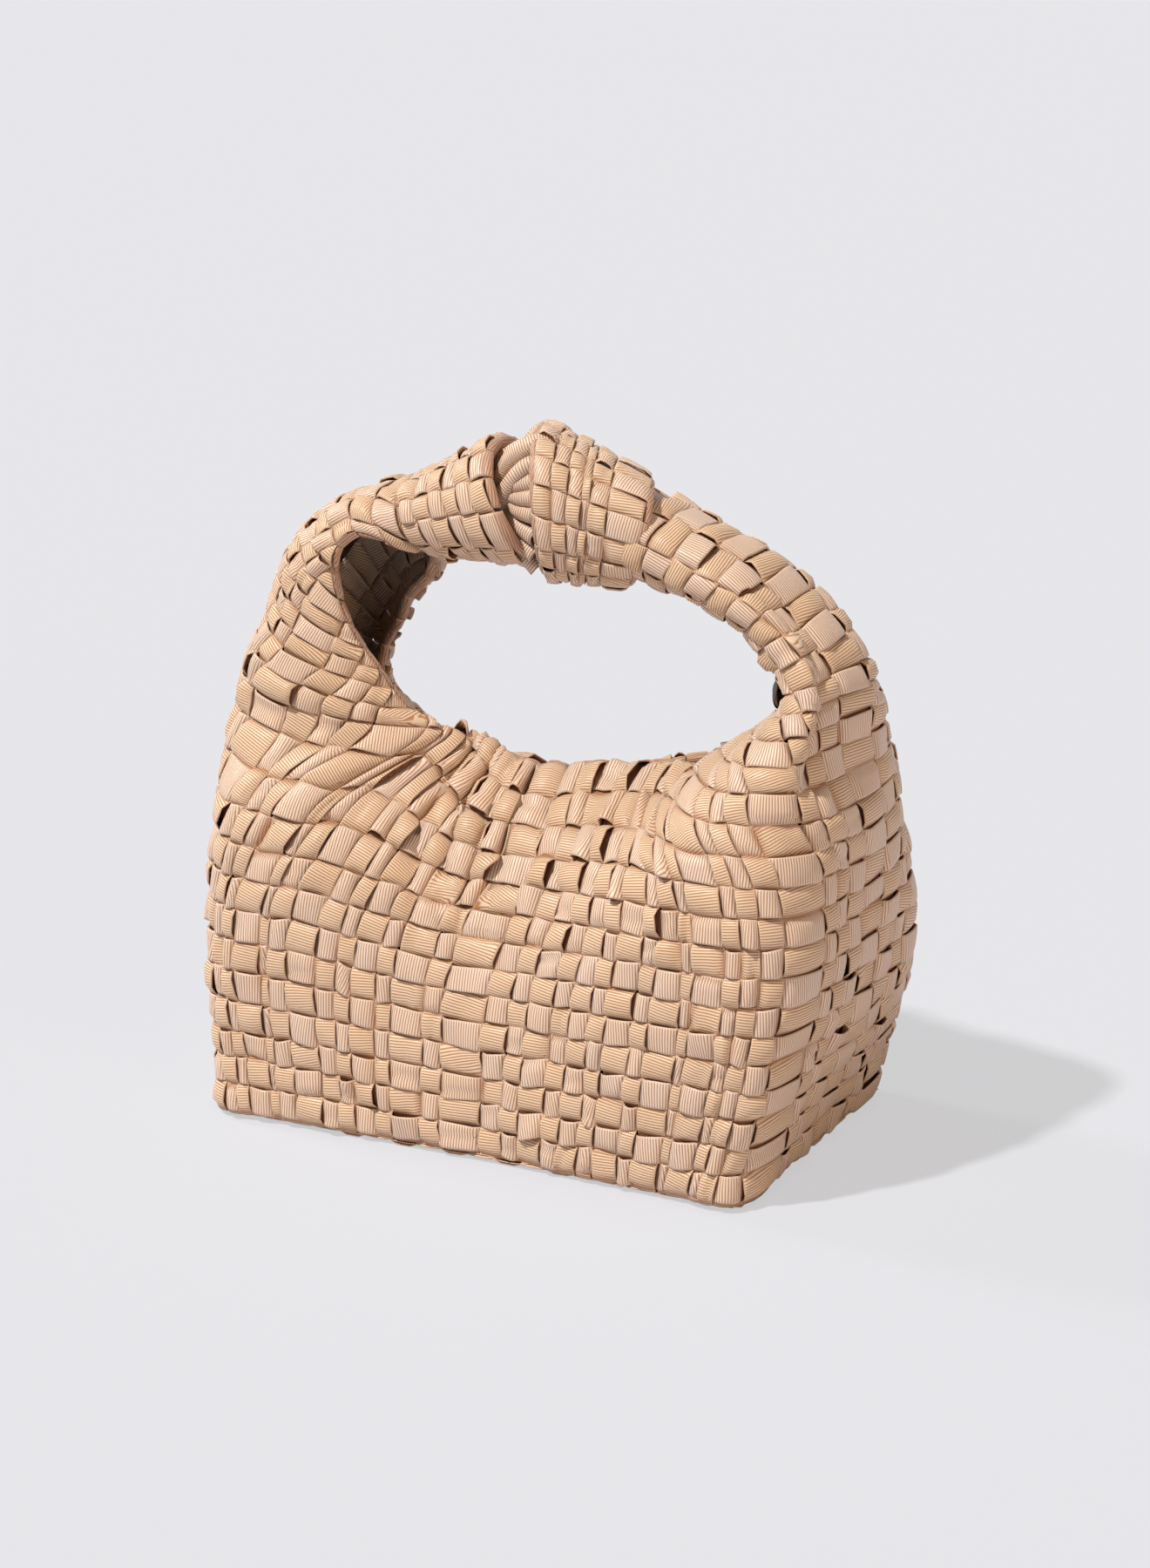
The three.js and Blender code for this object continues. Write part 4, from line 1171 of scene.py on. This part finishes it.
def sheet_object(name, outer, inner, material):
    """A closed thin sheet between two grids of points in mm."""
    n, m = outer.shape[:2]
    top = np.arange(n * m).reshape(n, m)
    back = top + n * m
    faces = [grid_quads(top[:-1, :-1], top[1:, :-1], top[1:, 1:], top[:-1, 1:]),
             grid_quads(back[:-1, :-1], back[:-1, 1:], back[1:, 1:], back[1:, :-1])]
    for line, other, flip in ((top[0], back[0], False), (top[-1], back[-1], True),
                              (top[:, 0], back[:, 0], True), (top[:, -1], back[:, -1], False)):
        edge = [line[:-1], line[1:], other[1:], other[:-1]]
        faces.append(grid_quads(*([edge[0], *edge[:0:-1]] if flip else edge)))
    points = np.concatenate([outer.reshape(-1, 3), inner.reshape(-1, 3)])
    return mesh_object(name, points, faces, material)


def lining_grid(part, across, level, inset):
    points = plain_point(part, across, level, inset)
    outward = frame_at(part, across, level, inset)[3]
    ripple = 0.35 * np.sin(across * 13 + level * 0.9) + creases(part, across, level)
    return points - outward * np.abs(ripple)[..., None]


def grid_size(grid):
    """Longest width and length of a grid of points."""
    wide = np.linalg.norm(np.diff(grid, axis=0), axis=-1).sum(0).max()
    long = np.linalg.norm(np.diff(grid, axis=1), axis=-1).sum(1).max()
    return wide, long

def add_lining(part, level, number=61):
    """Lining of one part; in the left arm it covers only the outer and the front side."""
    reach = 1 - (0.75 * eased_step((level - ROWS - 0.2) / 1.5) if part == "left" else 0 * level)
    across = -1 + np.linspace(0, 1, number)[:, None] * (reach + 1)
    level = np.broadcast_to(level, across.shape)
    outer = lining_grid(part, across, level, LINING_INSET)
    inner = lining_grid(part, across, level, LINING_INSET + LINING_THICKNESS)
    if part in ("back", "left"):
        outer, inner = outer[::-1], inner[::-1]
    made = sheet_object(f"{part}_lining", outer, inner, twill)
    return made


for part in ("front", "back"):
    made = add_lining(part, np.linspace(LINING_FOOT, ROWS, 45))
    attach(made, "bag")
    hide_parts(f"lining_{part}_panel")
for hand in ("left", "right"):
    made = add_lining(hand, np.linspace(LINING_FOOT, ROWS + ARM_ROWS[hand], 91))
    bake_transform(made)
    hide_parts(f"lining_{hand}_side", f"{hand}_arm_lining")

# %% [markdown]
# ## The knot
# The handle is one tube tied in a loose knot. Seen from the front it has two lobes. The left
# arm widens into a slanted open cuff, and the right arm ends inside an upright wrap whose
# ribbons run round it. Between them a twisted strand of ribbons comes up out of the cuff and
# goes under the wrap. A real knot could be made by sweeping a tube along a knotted curve, but
# flat plait doesn't bend like rope, so each lobe is its own tube, plaited as the body is.

# %% Tubes of the knot
TUBE_SQUARE = 2.2
LIP_SKEW, CUFF_LIP_SKEW = 0.34, 0.18
# Each pair runs from the arm's end of a lobe to its lip.
CUFF = {"x": (-45.0, -11.5), "z": (212.0, 220.0), "half": (13.5, 22.5), "deep": (23.0, 27.0),
        "lean": (22.0, 24.0), "skew": (0.0, CUFF_LIP_SKEW)}
WRAP = {"x": (35.0, -0.4), "z": (212.5, 220.5), "half": (18.5, 26.0), "deep": (21.0, 27.0),
        "lean": (-13.0, 4.0), "skew": (0.47, LIP_SKEW)}


def knot_ring(x, z, half, deep, lean, skew, turn):
    """Oval ring at turns from its top towards the back; skew turns it to the front."""
    cos, sin = np.cos(turn * 2 * np.pi), np.sin(turn * 2 * np.pi)
    up = half * np.sign(cos) * np.abs(cos) ** (2 / TUBE_SQUARE)
    back = deep * np.sign(sin) * np.abs(sin) ** (2 / TUBE_SQUARE)
    lean = np.radians(lean)
    return np.stack(np.broadcast_arrays(
        x - up * np.sin(lean) - skew * back, back, z + up * np.cos(lean)), -1)


def lobe_point(lobe, share, turn):
    """Surface of a lobe; share runs from the arm (0) to the lip (1)."""
    return knot_ring(*(low + (high - low) * share for low, high in lobe.values()), turn)


def tube_table(lobe, low_mm, high_mm):
    """Table of a lobe that curls in past its ends by so many mm."""
    share = np.concatenate([
        -np.linspace(low_mm, 0, int(low_mm * 2), endpoint=False),
        np.linspace(0, 1, 61),
        1 + np.linspace(0, high_mm, int(high_mm * 2) + 1)[1:],
    ])
    turn = np.linspace(0, 1, 97)
    inner = np.clip(share, 0, 1)[:, None]

    def round_it(points):
        around = np.roll(points[:, :-1], -1, axis=1) - np.roll(points[:, :-1], 1, axis=1)
        return np.concatenate([around, around[:, :1]], 1)

    points = lobe_point(lobe, inner, turn[None, :])
    onward = unit(lobe_point(lobe, inner + STEP, turn[None, :])
                  - lobe_point(lobe, inner - STEP, turn[None, :]))
    outward = unit(np.cross(round_it(points), onward))
    flip = np.sign((outward * (points - points.mean(1, keepdims=True))).sum(-1).mean())
    outward = outward * flip
    for past, ahead in ((share - 1, onward), (-share, -onward)):
        past = np.broadcast_to(past[:, None].clip(0), points.shape[:2])
        points = np.where((past > 0)[..., None],
                          curled(points, ahead, outward, past, math.pi * 0.8), points)
    normals = unit(np.cross(round_it(points), np.gradient(points, axis=0))) * flip
    return {"axes": (share, turn), "points": points, "normals": normals}


cuff_table, wrap_table = tube_table(CUFF, 0, 9), tube_table(WRAP, 7, 8)
print("lobes of", cuff_table["points"].shape, "and", wrap_table["points"].shape)

# %% [markdown]
# A tube is plaited as the walls are. Rings run round it and close on themselves with a short
# overlap at the side that doesn't show. Runners go along it and curl in over its lip. Both
# read the tube's table, and each crossing lifts one of them over the other.

# %% Weaving a tube
STRIP_FULL = 0.49


def strip_between(low, high, shift, width):
    """Shares across a strip between two lines, as a grid of (stations, shares)."""
    return (low + high) / 2 + (high - low) * (shift + FACE_SHARES[None, :] * STRIP_FULL * width)


def add_tube_strip(bundle, table, share, turn, cell, phases, over, count, buckled):
    face, outward = read_table(table, share, np.mod(turn, 1.0))
    add_woven(bundle, face, outward, half_widths(face), cell, phases, over,
              cell_sizes(face, cell), cell_whims(count, buckled))


def add_ring(bundle, table, low, high, turns, parity, number):
    """A ribbon round the tube between two shares, across runners at these turns."""
    count = len(turns) - 1
    half_cell = CELL_STEPS // 2
    first = count // 4 + (count // 4 + number + parity + 1) % 2
    cell = np.repeat(np.arange(count + 1), CELL_STEPS)[half_cell:-half_cell]
    phases = np.tile(cell_phases(CELL_STEPS), count + 1)[half_cell:-half_cell]
    where = (first + cell) % count
    over = (where + number + parity) % 2 == 0
    turn = turns[where] + phases * (turns[where + 1] - turns[where])
    share = strip_between(low, high, *wander(cell, phases, count + 1, 0.02, 0.95, 1.04))
    add_tube_strip(bundle, table, share, turn[:, None], cell, phases, over, count + 1, 0.12)


def add_runner(bundle, table, low, high, shares, parity, number, before, after):
    """A ribbon along the tube between two turns, across rings at these shares."""
    count = len(shares) - 1
    cell = np.repeat(np.arange(count), CELL_STEPS)
    phases = np.tile(cell_phases(CELL_STEPS), count)
    share = shares[cell] + phases * (shares[cell + 1] - shares[cell])
    start, finish = np.arange(-before, 0, 0.6), np.arange(0.6, after, 0.6)
    share = np.concatenate([start, share, shares[-1:], 1 + finish])
    over = (cell + number + parity) % 2 == 1
    cell, phases, over = run_on(len(start), len(finish) + 1, cell, phases, over)
    turn = strip_between(low, high, *wander(cell, phases, count, 0.03, 0.95, 1.03))
    add_tube_strip(bundle, table, share[:, None], turn, cell, phases, over, count, 0.15)


print("each crossing is drawn in", CELL_STEPS, "steps")

# %% [markdown]
# The cuff has twelve runners of mixed width and six rings, and the wrap sixteen even runners
# and six rings, whose widths are read off the photograph: the wrap's right end is one broad
# ribbon, and next to it lies a very narrow one.

# %% Cuff and wrap
CUFF_RINGS = [6.5, 6, 6.5, 5.5, 6.5, 6]
CUFF_RUNNERS = [12, 15, 10, 14, 11, 15, 12, 10, 15, 12, 14, 11]
WRAP_RINGS = [17, 8.5, 3.5, 6.5, 7, 8]
WRAP_RUNNERS = [10, 9.5, 10.5, 10, 10, 9.5, 10, 10.5, 10, 10, 9.5, 10, 10, 10.5, 9.5, 10]


def edges_of(widths):
    return np.concatenate([[0], np.cumsum(widths)]) / np.sum(widths)


knot_rings, knot_runners = new_bundle(), new_bundle()
for table, rings, runners, parity, before, after in (
    (cuff_table, edges_of(CUFF_RINGS), edges_of(CUFF_RUNNERS), 0, 0.0, 9.0),
    (wrap_table, edges_of(WRAP_RINGS), edges_of(WRAP_RUNNERS), 1, 7.0, 8.0),
):
    for number, (low, high) in enumerate(zip(rings, rings[1:])):
        add_ring(knot_rings, table, low, high, runners, parity, number)
    for number, (low, high) in enumerate(zip(runners, runners[1:])):
        add_runner(knot_runners, table, low, high, rings, parity, number, before, after)

made = finish_piece("knot_rings", knot_rings, warp_tape)
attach(made, "handle")
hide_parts("handle_knot")
made = finish_piece("knot_runners", knot_runners, weft_tape)
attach(made, "handle")

# %% [markdown]
# The strand that crosses the gap is the other end of the handle, squeezed narrow: its plait has
# closed up, and only ribbons that run lengthwise show. They lie round a twisted path like the
# petals of a bud, each tucked under the next. Behind it the gap is closed by the knot's core,
# in the shade.

# %% Strand and core
STRAND_PATH = np.array([
    (-19, -4, 207), (-13, -8, 218), (-7, -10.5, 228.5), (-1.5, -10.5, 236), (3.5, -8, 237.5),
    (8, -4, 234), (13, 0, 227),
])
MIDDLE_STRAND_PATH = np.array([
    (-24, 3, 218), (-17, 2, 227.5), (-10, 1, 233), (-3, 0, 235.5), (3.5, 0, 236), (9, 0, 233),
    (14, 0, 227),
])
STRAND_PATHS = (STRAND_PATH, STRAND_PATH * (1, -1, 1) + (-7, 5, 0), MIDDLE_STRAND_PATH)
STRAND_ROLLS, STRAND_TWIST, ROLL_OFFSET, ROLL_RADIUS = 4, 0.3, 4.9, 3.7
CREVICE_START = np.array((-12.5, -11.0, 223.5))
CREVICE_ENDS = ((4, -16, 230), (5, -18, 224.5), (5, -18.5, 218.5), (4.5, -18, 211),
                (4, -17, 204.5), (3, -14.5, 199))
CREVICE_STEPS = 15


def path_frames(points, count):
    """Even points along a smooth path, with two axes square to it."""
    knots = run_length(points)
    at = np.linspace(0, knots[-1], count)
    line = np.stack([smooth(knots, points[:, k], at) for k in range(3)], -1)
    ahead = unit(np.gradient(line, axis=0))
    side = unit(np.cross(ahead, np.array([0.2, 0.1, 1.0])))
    return line, side, unit(np.cross(side, ahead))


def outwards(side, up, turn):
    """Direction at a turn round a path."""
    return side * np.cos(turn * 2 * np.pi)[..., None] + up * np.sin(turn * 2 * np.pi)[..., None]


def strip_on_path(bundle, line, side, up, radius, turn, spread, leaf):
    """A ribbon along a path at a turn round it; leaf lifts one edge over its neighbour."""
    out = outwards(side[:, None], up[:, None], turn[:, None] + FACE_SHARES[None, :] * spread)
    crown = 0.25 * np.abs(FACE_SHARES) ** 3
    lift = radius[:, None] + (leaf * (FACE_SHARES + 1) / 2 - crown)[None, :]
    face = line[:, None] + out * lift[..., None]
    add_ribbon(bundle, face, out, half_widths(face), rng.normal(0, 0.6))


strand = new_bundle()
position = np.linspace(0, 1, 41)
swell = 0.6 + 0.4 * np.sin(np.pi * position)
for path, number in itertools.product(STRAND_PATHS, range(STRAND_ROLLS)):
    line, side, up = path_frames(path, len(position))
    turn = number / STRAND_ROLLS + STRAND_TWIST * position
    offset = (ROLL_OFFSET + 0.4 * np.sin(position * 8 + number * 2)) * swell
    radius = (ROLL_RADIUS + 0.5 * np.sin(position * 11 + number * 1.7)) * swell
    line = line + outwards(side, up, turn) * offset[:, None]
    strip_on_path(strand, line, side, up, radius, turn, 0.4, 0.9)
for number, finish in enumerate(CREVICE_ENDS):
    middle = (CREVICE_START + finish) / 2 + (0, -2.2, 0.5 - number)
    line, side, up = path_frames(np.array([CREVICE_START, middle, finish]), CREVICE_STEPS)
    turn = np.full(CREVICE_STEPS, 0.04 + 0.03 * number)
    radius = np.linspace(1.2, 3.4, CREVICE_STEPS)
    strip_on_path(strand, line, side, up, radius, turn, 0.3, 0.5)
made = finish_piece("knot_strand", strand, weft_tape)
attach(made, "handle")


def closed_tube(name, rings, material):
    """A closed body through rings of points in mm, with its ends drawn to a point."""
    count, around = rings.shape[:2]
    index = np.arange(count * around).reshape(count, around)
    after = np.roll(index, -1, axis=1)
    quads = grid_quads(index[:-1], after[:-1], after[1:], index[1:])
    first, last = np.full(around, count * around), np.full(around, count * around + 1)
    caps = np.stack([np.stack([first, after[0], index[0]], -1),
                     np.stack([last, index[-1], after[-1]], -1)], 1).reshape(-1, 3)
    points = np.concatenate([rings.reshape(-1, 3), rings[[0, -1]].mean(1)])
    return mesh_object(name, points, [quads, caps], material)


CORE_SIZE, CORE_HALF, CORE_MIDDLE = 14.5, 40.0, -4.0
core_turns = np.arange(32) / 32
core_rings = []
for x in np.linspace(-40, 32, 25):
    share = (x - CORE_MIDDLE) / CORE_HALF
    size = CORE_SIZE * math.sqrt(max(1 - share * share, 0.04))
    ring = knot_ring(x, 217 + 2 * math.cos(share * 2), size, size * 1.05, 10, LIP_SKEW, core_turns)
    ring[:, 2] += 0.9 * np.sin(core_turns * 2 * np.pi * 5 + x * 0.3)
    core_rings.append(ring)
made = closed_tube("knot_core", np.array(core_rings), twill)
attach(made, "handle")

# %% [markdown]
# ## Padding
# The handle's tube keeps its round shape because a roll of polyester wadding fills it on both
# sides of the knot. It is hidden by the ribbons, except at the end that looks down into the
# arm, so it is a plain stuffed roll with shallow dents. It could be made with pressure in a
# cloth simulation, but nothing of that would show.

# %% Padding rolls
wadding, tree, shader = new_material("polyester_wadding")
place = node(tree, "TexCoord")
fluff = node(tree, "TexNoise", {
    "Vector": (place, "Object"), "Scale": 320.0, "Detail": 5.0, "Roughness": 0.7})
shade = node(tree, "Mix", {
    "Factor": (fluff, "Fac"), "A": linear("#CFC8BC"), "B": linear("#F1ECE3")}, data_type="RGBA")
bump = node(tree, "Bump", {"Height": (fluff, "Fac"), "Distance": 0.0006, "Strength": 0.6})
fill_sockets(tree, shader, {
    "Base Color": (shade, 2), "Normal": (bump, 0), "Roughness": 0.95, "Sheen Weight": 0.3})

PADDING_INSET, PADDING_GAP = 5.9, 0.5
PADDING_DIP = {"left": 0.0, "right": 4.0}
PADDING_RINGS, ROUNDED_RINGS = 30, 4
SNAP_RISE, SNAP_DIAMETER = 3.0, 14.0
stud_distance = SIDES["right"]["along"][4] + SNAP_RISE
left_low = SIDES["left"]["along"][7] + 0.55 * (SIDES["left"]["end"] - SIDES["left"]["along"][7])
for hand, low in (("left", left_low), ("right", stud_distance + SNAP_DIAMETER)):
    side = SIDES[hand]
    turns = np.arange(40) / 40 * 360.0
    rings = []
    for n, at in enumerate(np.linspace(low + 0.5, side["end"] - 0.6, PADDING_RINGS)):
        from_end = min(n, PADDING_RINGS - 1 - n, ROUNDED_RINGS) / ROUNDED_RINGS
        round_off = 0.5 + 0.5 * math.sin(from_end * math.pi / 2)
        dent = 0.5 * np.sin(np.radians(turns) * 3 + at * 0.25) + 0.4 * np.sin(at * 0.5)
        dip = PADDING_DIP[hand] * ((side["end"] - at) / (side["end"] - low)) ** 2
        ring = section_point(side, np.full(40, at), turns, PADDING_INSET + PADDING_GAP + dip)
        middle = ring.mean(0)
        rings.append(middle + (ring - middle) * round_off
                     + unit(ring - middle) * dent[:, None] * 0.5)
    made = closed_tube(f"{hand}_padding_roll", np.array(rings), wadding)
    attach(made, "handle")
    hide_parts(f"{hand}_arm_padding")

# %% [markdown]
# ## The floor of the bag
# A board under the lining keeps the base flat. The CAD model's plate has its exact shape, so it
# stays and only gets the look of grey board. The piece of lining that lies on it is cloth, with
# its own low waves.

# %% Board and base lining
greyboard, tree, shader = new_material("grey_bookbinding_board")
place = node(tree, "TexCoord")
pulp = node(tree, "TexNoise", {"Vector": (place, "Object"), "Scale": 900.0, "Detail": 4.0})
shade = node(tree, "Mix", {
    "Factor": (pulp, "Fac"), "A": linear("#7E7263"), "B": linear("#A0937F")}, data_type="RGBA")
fill_sockets(tree, shader, {"Base Color": (shade, 2), "Roughness": 0.9})
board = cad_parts["base_board"]
board.material_slots[0].material = greyboard

SHEET_LOW, SHEET_HIGH, SHEET_MARGIN = 5.75, 6.35, 4.5
u, v = np.meshgrid(np.linspace(-1, 1, 41), np.linspace(-1, 1, 25), indexing="ij")
y = v * (BASE_DEPTH / 2 - SHEET_MARGIN)
x = u * (base_half_length(y) - SHEET_MARGIN)
wave = 0.25 * np.sin(x * 0.11 + 1) * np.cos(y * 0.13)
wave = wave * (1 - np.maximum(np.abs(u), np.abs(v)) ** 4)
upper = np.stack([x, y, SHEET_HIGH + wave.clip(0)], -1)
lower = np.stack([x, y, np.full_like(x, SHEET_LOW)], -1)
made = sheet_object("base_lining_sheet", upper[:, ::-1], lower[:, ::-1], twill)
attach(made, "bag")
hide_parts("lining_base")
wide, long = grid_size(upper)

# %% [markdown]
# ## The magnetic snap
# The two halves of a small snap draw the handle's roots together over the mouth: a stud on the
# right root and a socket in the left one. Such snaps are pressed from steel and plated dark.
# A lathe profile turned round an axis gives every edge its small radius, which is what catches
# the light on metal.

# %% Snap
gunmetal, tree, shader = new_material("gunmetal_plated_steel")
place = node(tree, "TexCoord")
polish = node(tree, "TexNoise", {"Vector": (place, "Object"), "Scale": 700.0, "Detail": 3.0})
rough = node(tree, "MapRange", {"Value": (polish, "Fac"), "To Min": 0.2, "To Max": 0.36})
fill_sockets(tree, shader, {
    "Base Color": linear("#6B6762"), "Metallic": 1.0, "Roughness": (rough, 0)})

CLEARANCE, BEDDING, WASHER_THICKNESS = 0.3, 0.7, 0.7
SHEET_STACK = 3.3 + 0.9


def snap_place(side, distance, angle, offset):
    """Middle of a snap half's foot and the direction it faces, off a point on a section."""
    def point(at):
        return section_point(side, np.array([at]), angle, 0)[0]

    along = unit(point(distance + 1) - point(distance - 1))
    facing = np.array([-along[2], 0, along[0]]) * side["hand"]
    return point(distance) + facing * offset, facing


def face_rise(side, distance, angle):
    foot, facing = snap_place(side, distance, angle, 0)
    reach = np.linspace(distance - SNAP_DIAMETER, distance + SNAP_DIAMETER, 25)
    off = section_point(side, reach, angle, 0) - foot
    near = np.linalg.norm(off, axis=1) < SNAP_DIAMETER / 2 + CLEARANCE
    return max(0.0, float((off @ facing)[near].max()))


def lathe(name, profile, foot, facing, count=72):
    """Turns a profile of (radius, height) in mm round an axis that faces a direction."""
    profile = np.array(profile, float)
    first = unit(np.cross(facing, np.array([0, 1.0, 0])))
    out = outwards(first, np.cross(unit(facing), first), np.arange(count) / count)
    rings = foot + unit(facing) * profile[:, 1][:, None, None] + out * profile[:, 0][:, None, None]
    made = closed_tube(name, rings, gunmetal)
    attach(made, "handle")
    return made


def rounded(points, radius=0.25, steps=4):
    """A profile with each inner corner rounded."""
    points = [np.array(p, float) for p in points]
    line = [points[0]]
    for before, corner, after in zip(points, points[1:], points[2:]):
        cut = min(radius, *(np.linalg.norm(end - corner) * 0.45 for end in (before, after)))
        a = corner + unit(before - corner) * cut
        b = corner + unit(after - corner) * cut
        for s in np.linspace(0, 1, steps):
            line.append((1 - s) ** 2 * a + 2 * s * (1 - s) * corner + s * s * b)
    line.append(points[-1])
    return line


stud_bedding = CLEARANCE + BEDDING / 2 + face_rise(SIDES["right"], stud_distance, 180.0)
foot, facing = snap_place(SIDES["right"], stud_distance, 180.0, stud_bedding)
reach = stud_bedding + SHEET_STACK + BEDDING + WASHER_THICKNESS + CLEARANCE
stud = lathe("snap_stud_disc", rounded([
    (0.02, -reach), (1.4, -reach), (1.4, 0), (6.6, 0), (7.0, 0.5), (6.9, 1.5), (6.1, 2.1),
    (5.4, 2.2), (4.9, 1.9), (4.2, 1.9), (3.7, 2.35), (3.1, 2.4), (2.9, 3.5), (2.3, 3.8),
    (0.02, 3.8),
]), foot, facing)
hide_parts("snap_stud")
foot, facing = snap_place(SIDES["right"], stud_distance, 180.0, stud_bedding - reach + CLEARANCE)
washer = lathe("snap_washer_plate", rounded([
    (1.75, 0.35), (1.8, 0.0), (5.0, 0.0), (5.0, 0.7), (1.8, 0.7), (1.75, 0.35),
], 0.15), foot, facing)
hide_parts("snap_stud_washer")
socket_distance = SIDES["left"]["along"][6]
socket_bedding = SHEET_STACK + BEDDING + face_rise(SIDES["left"], socket_distance, 0.0)
foot, facing = snap_place(SIDES["left"], socket_distance, 0.0, socket_bedding)
socket = lathe("snap_socket_disc", rounded([
    (0.02, 0), (6.6, 0), (7.0, 0.5), (6.9, 1.5), (6.1, 2.1), (5.4, 2.2), (4.9, 2.0),
    (4.2, 2.3), (3.6, 2.4), (3.3, 2.1), (3.3, 1.0), (0.02, 1.0),
]), foot, facing)
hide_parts("snap_socket")
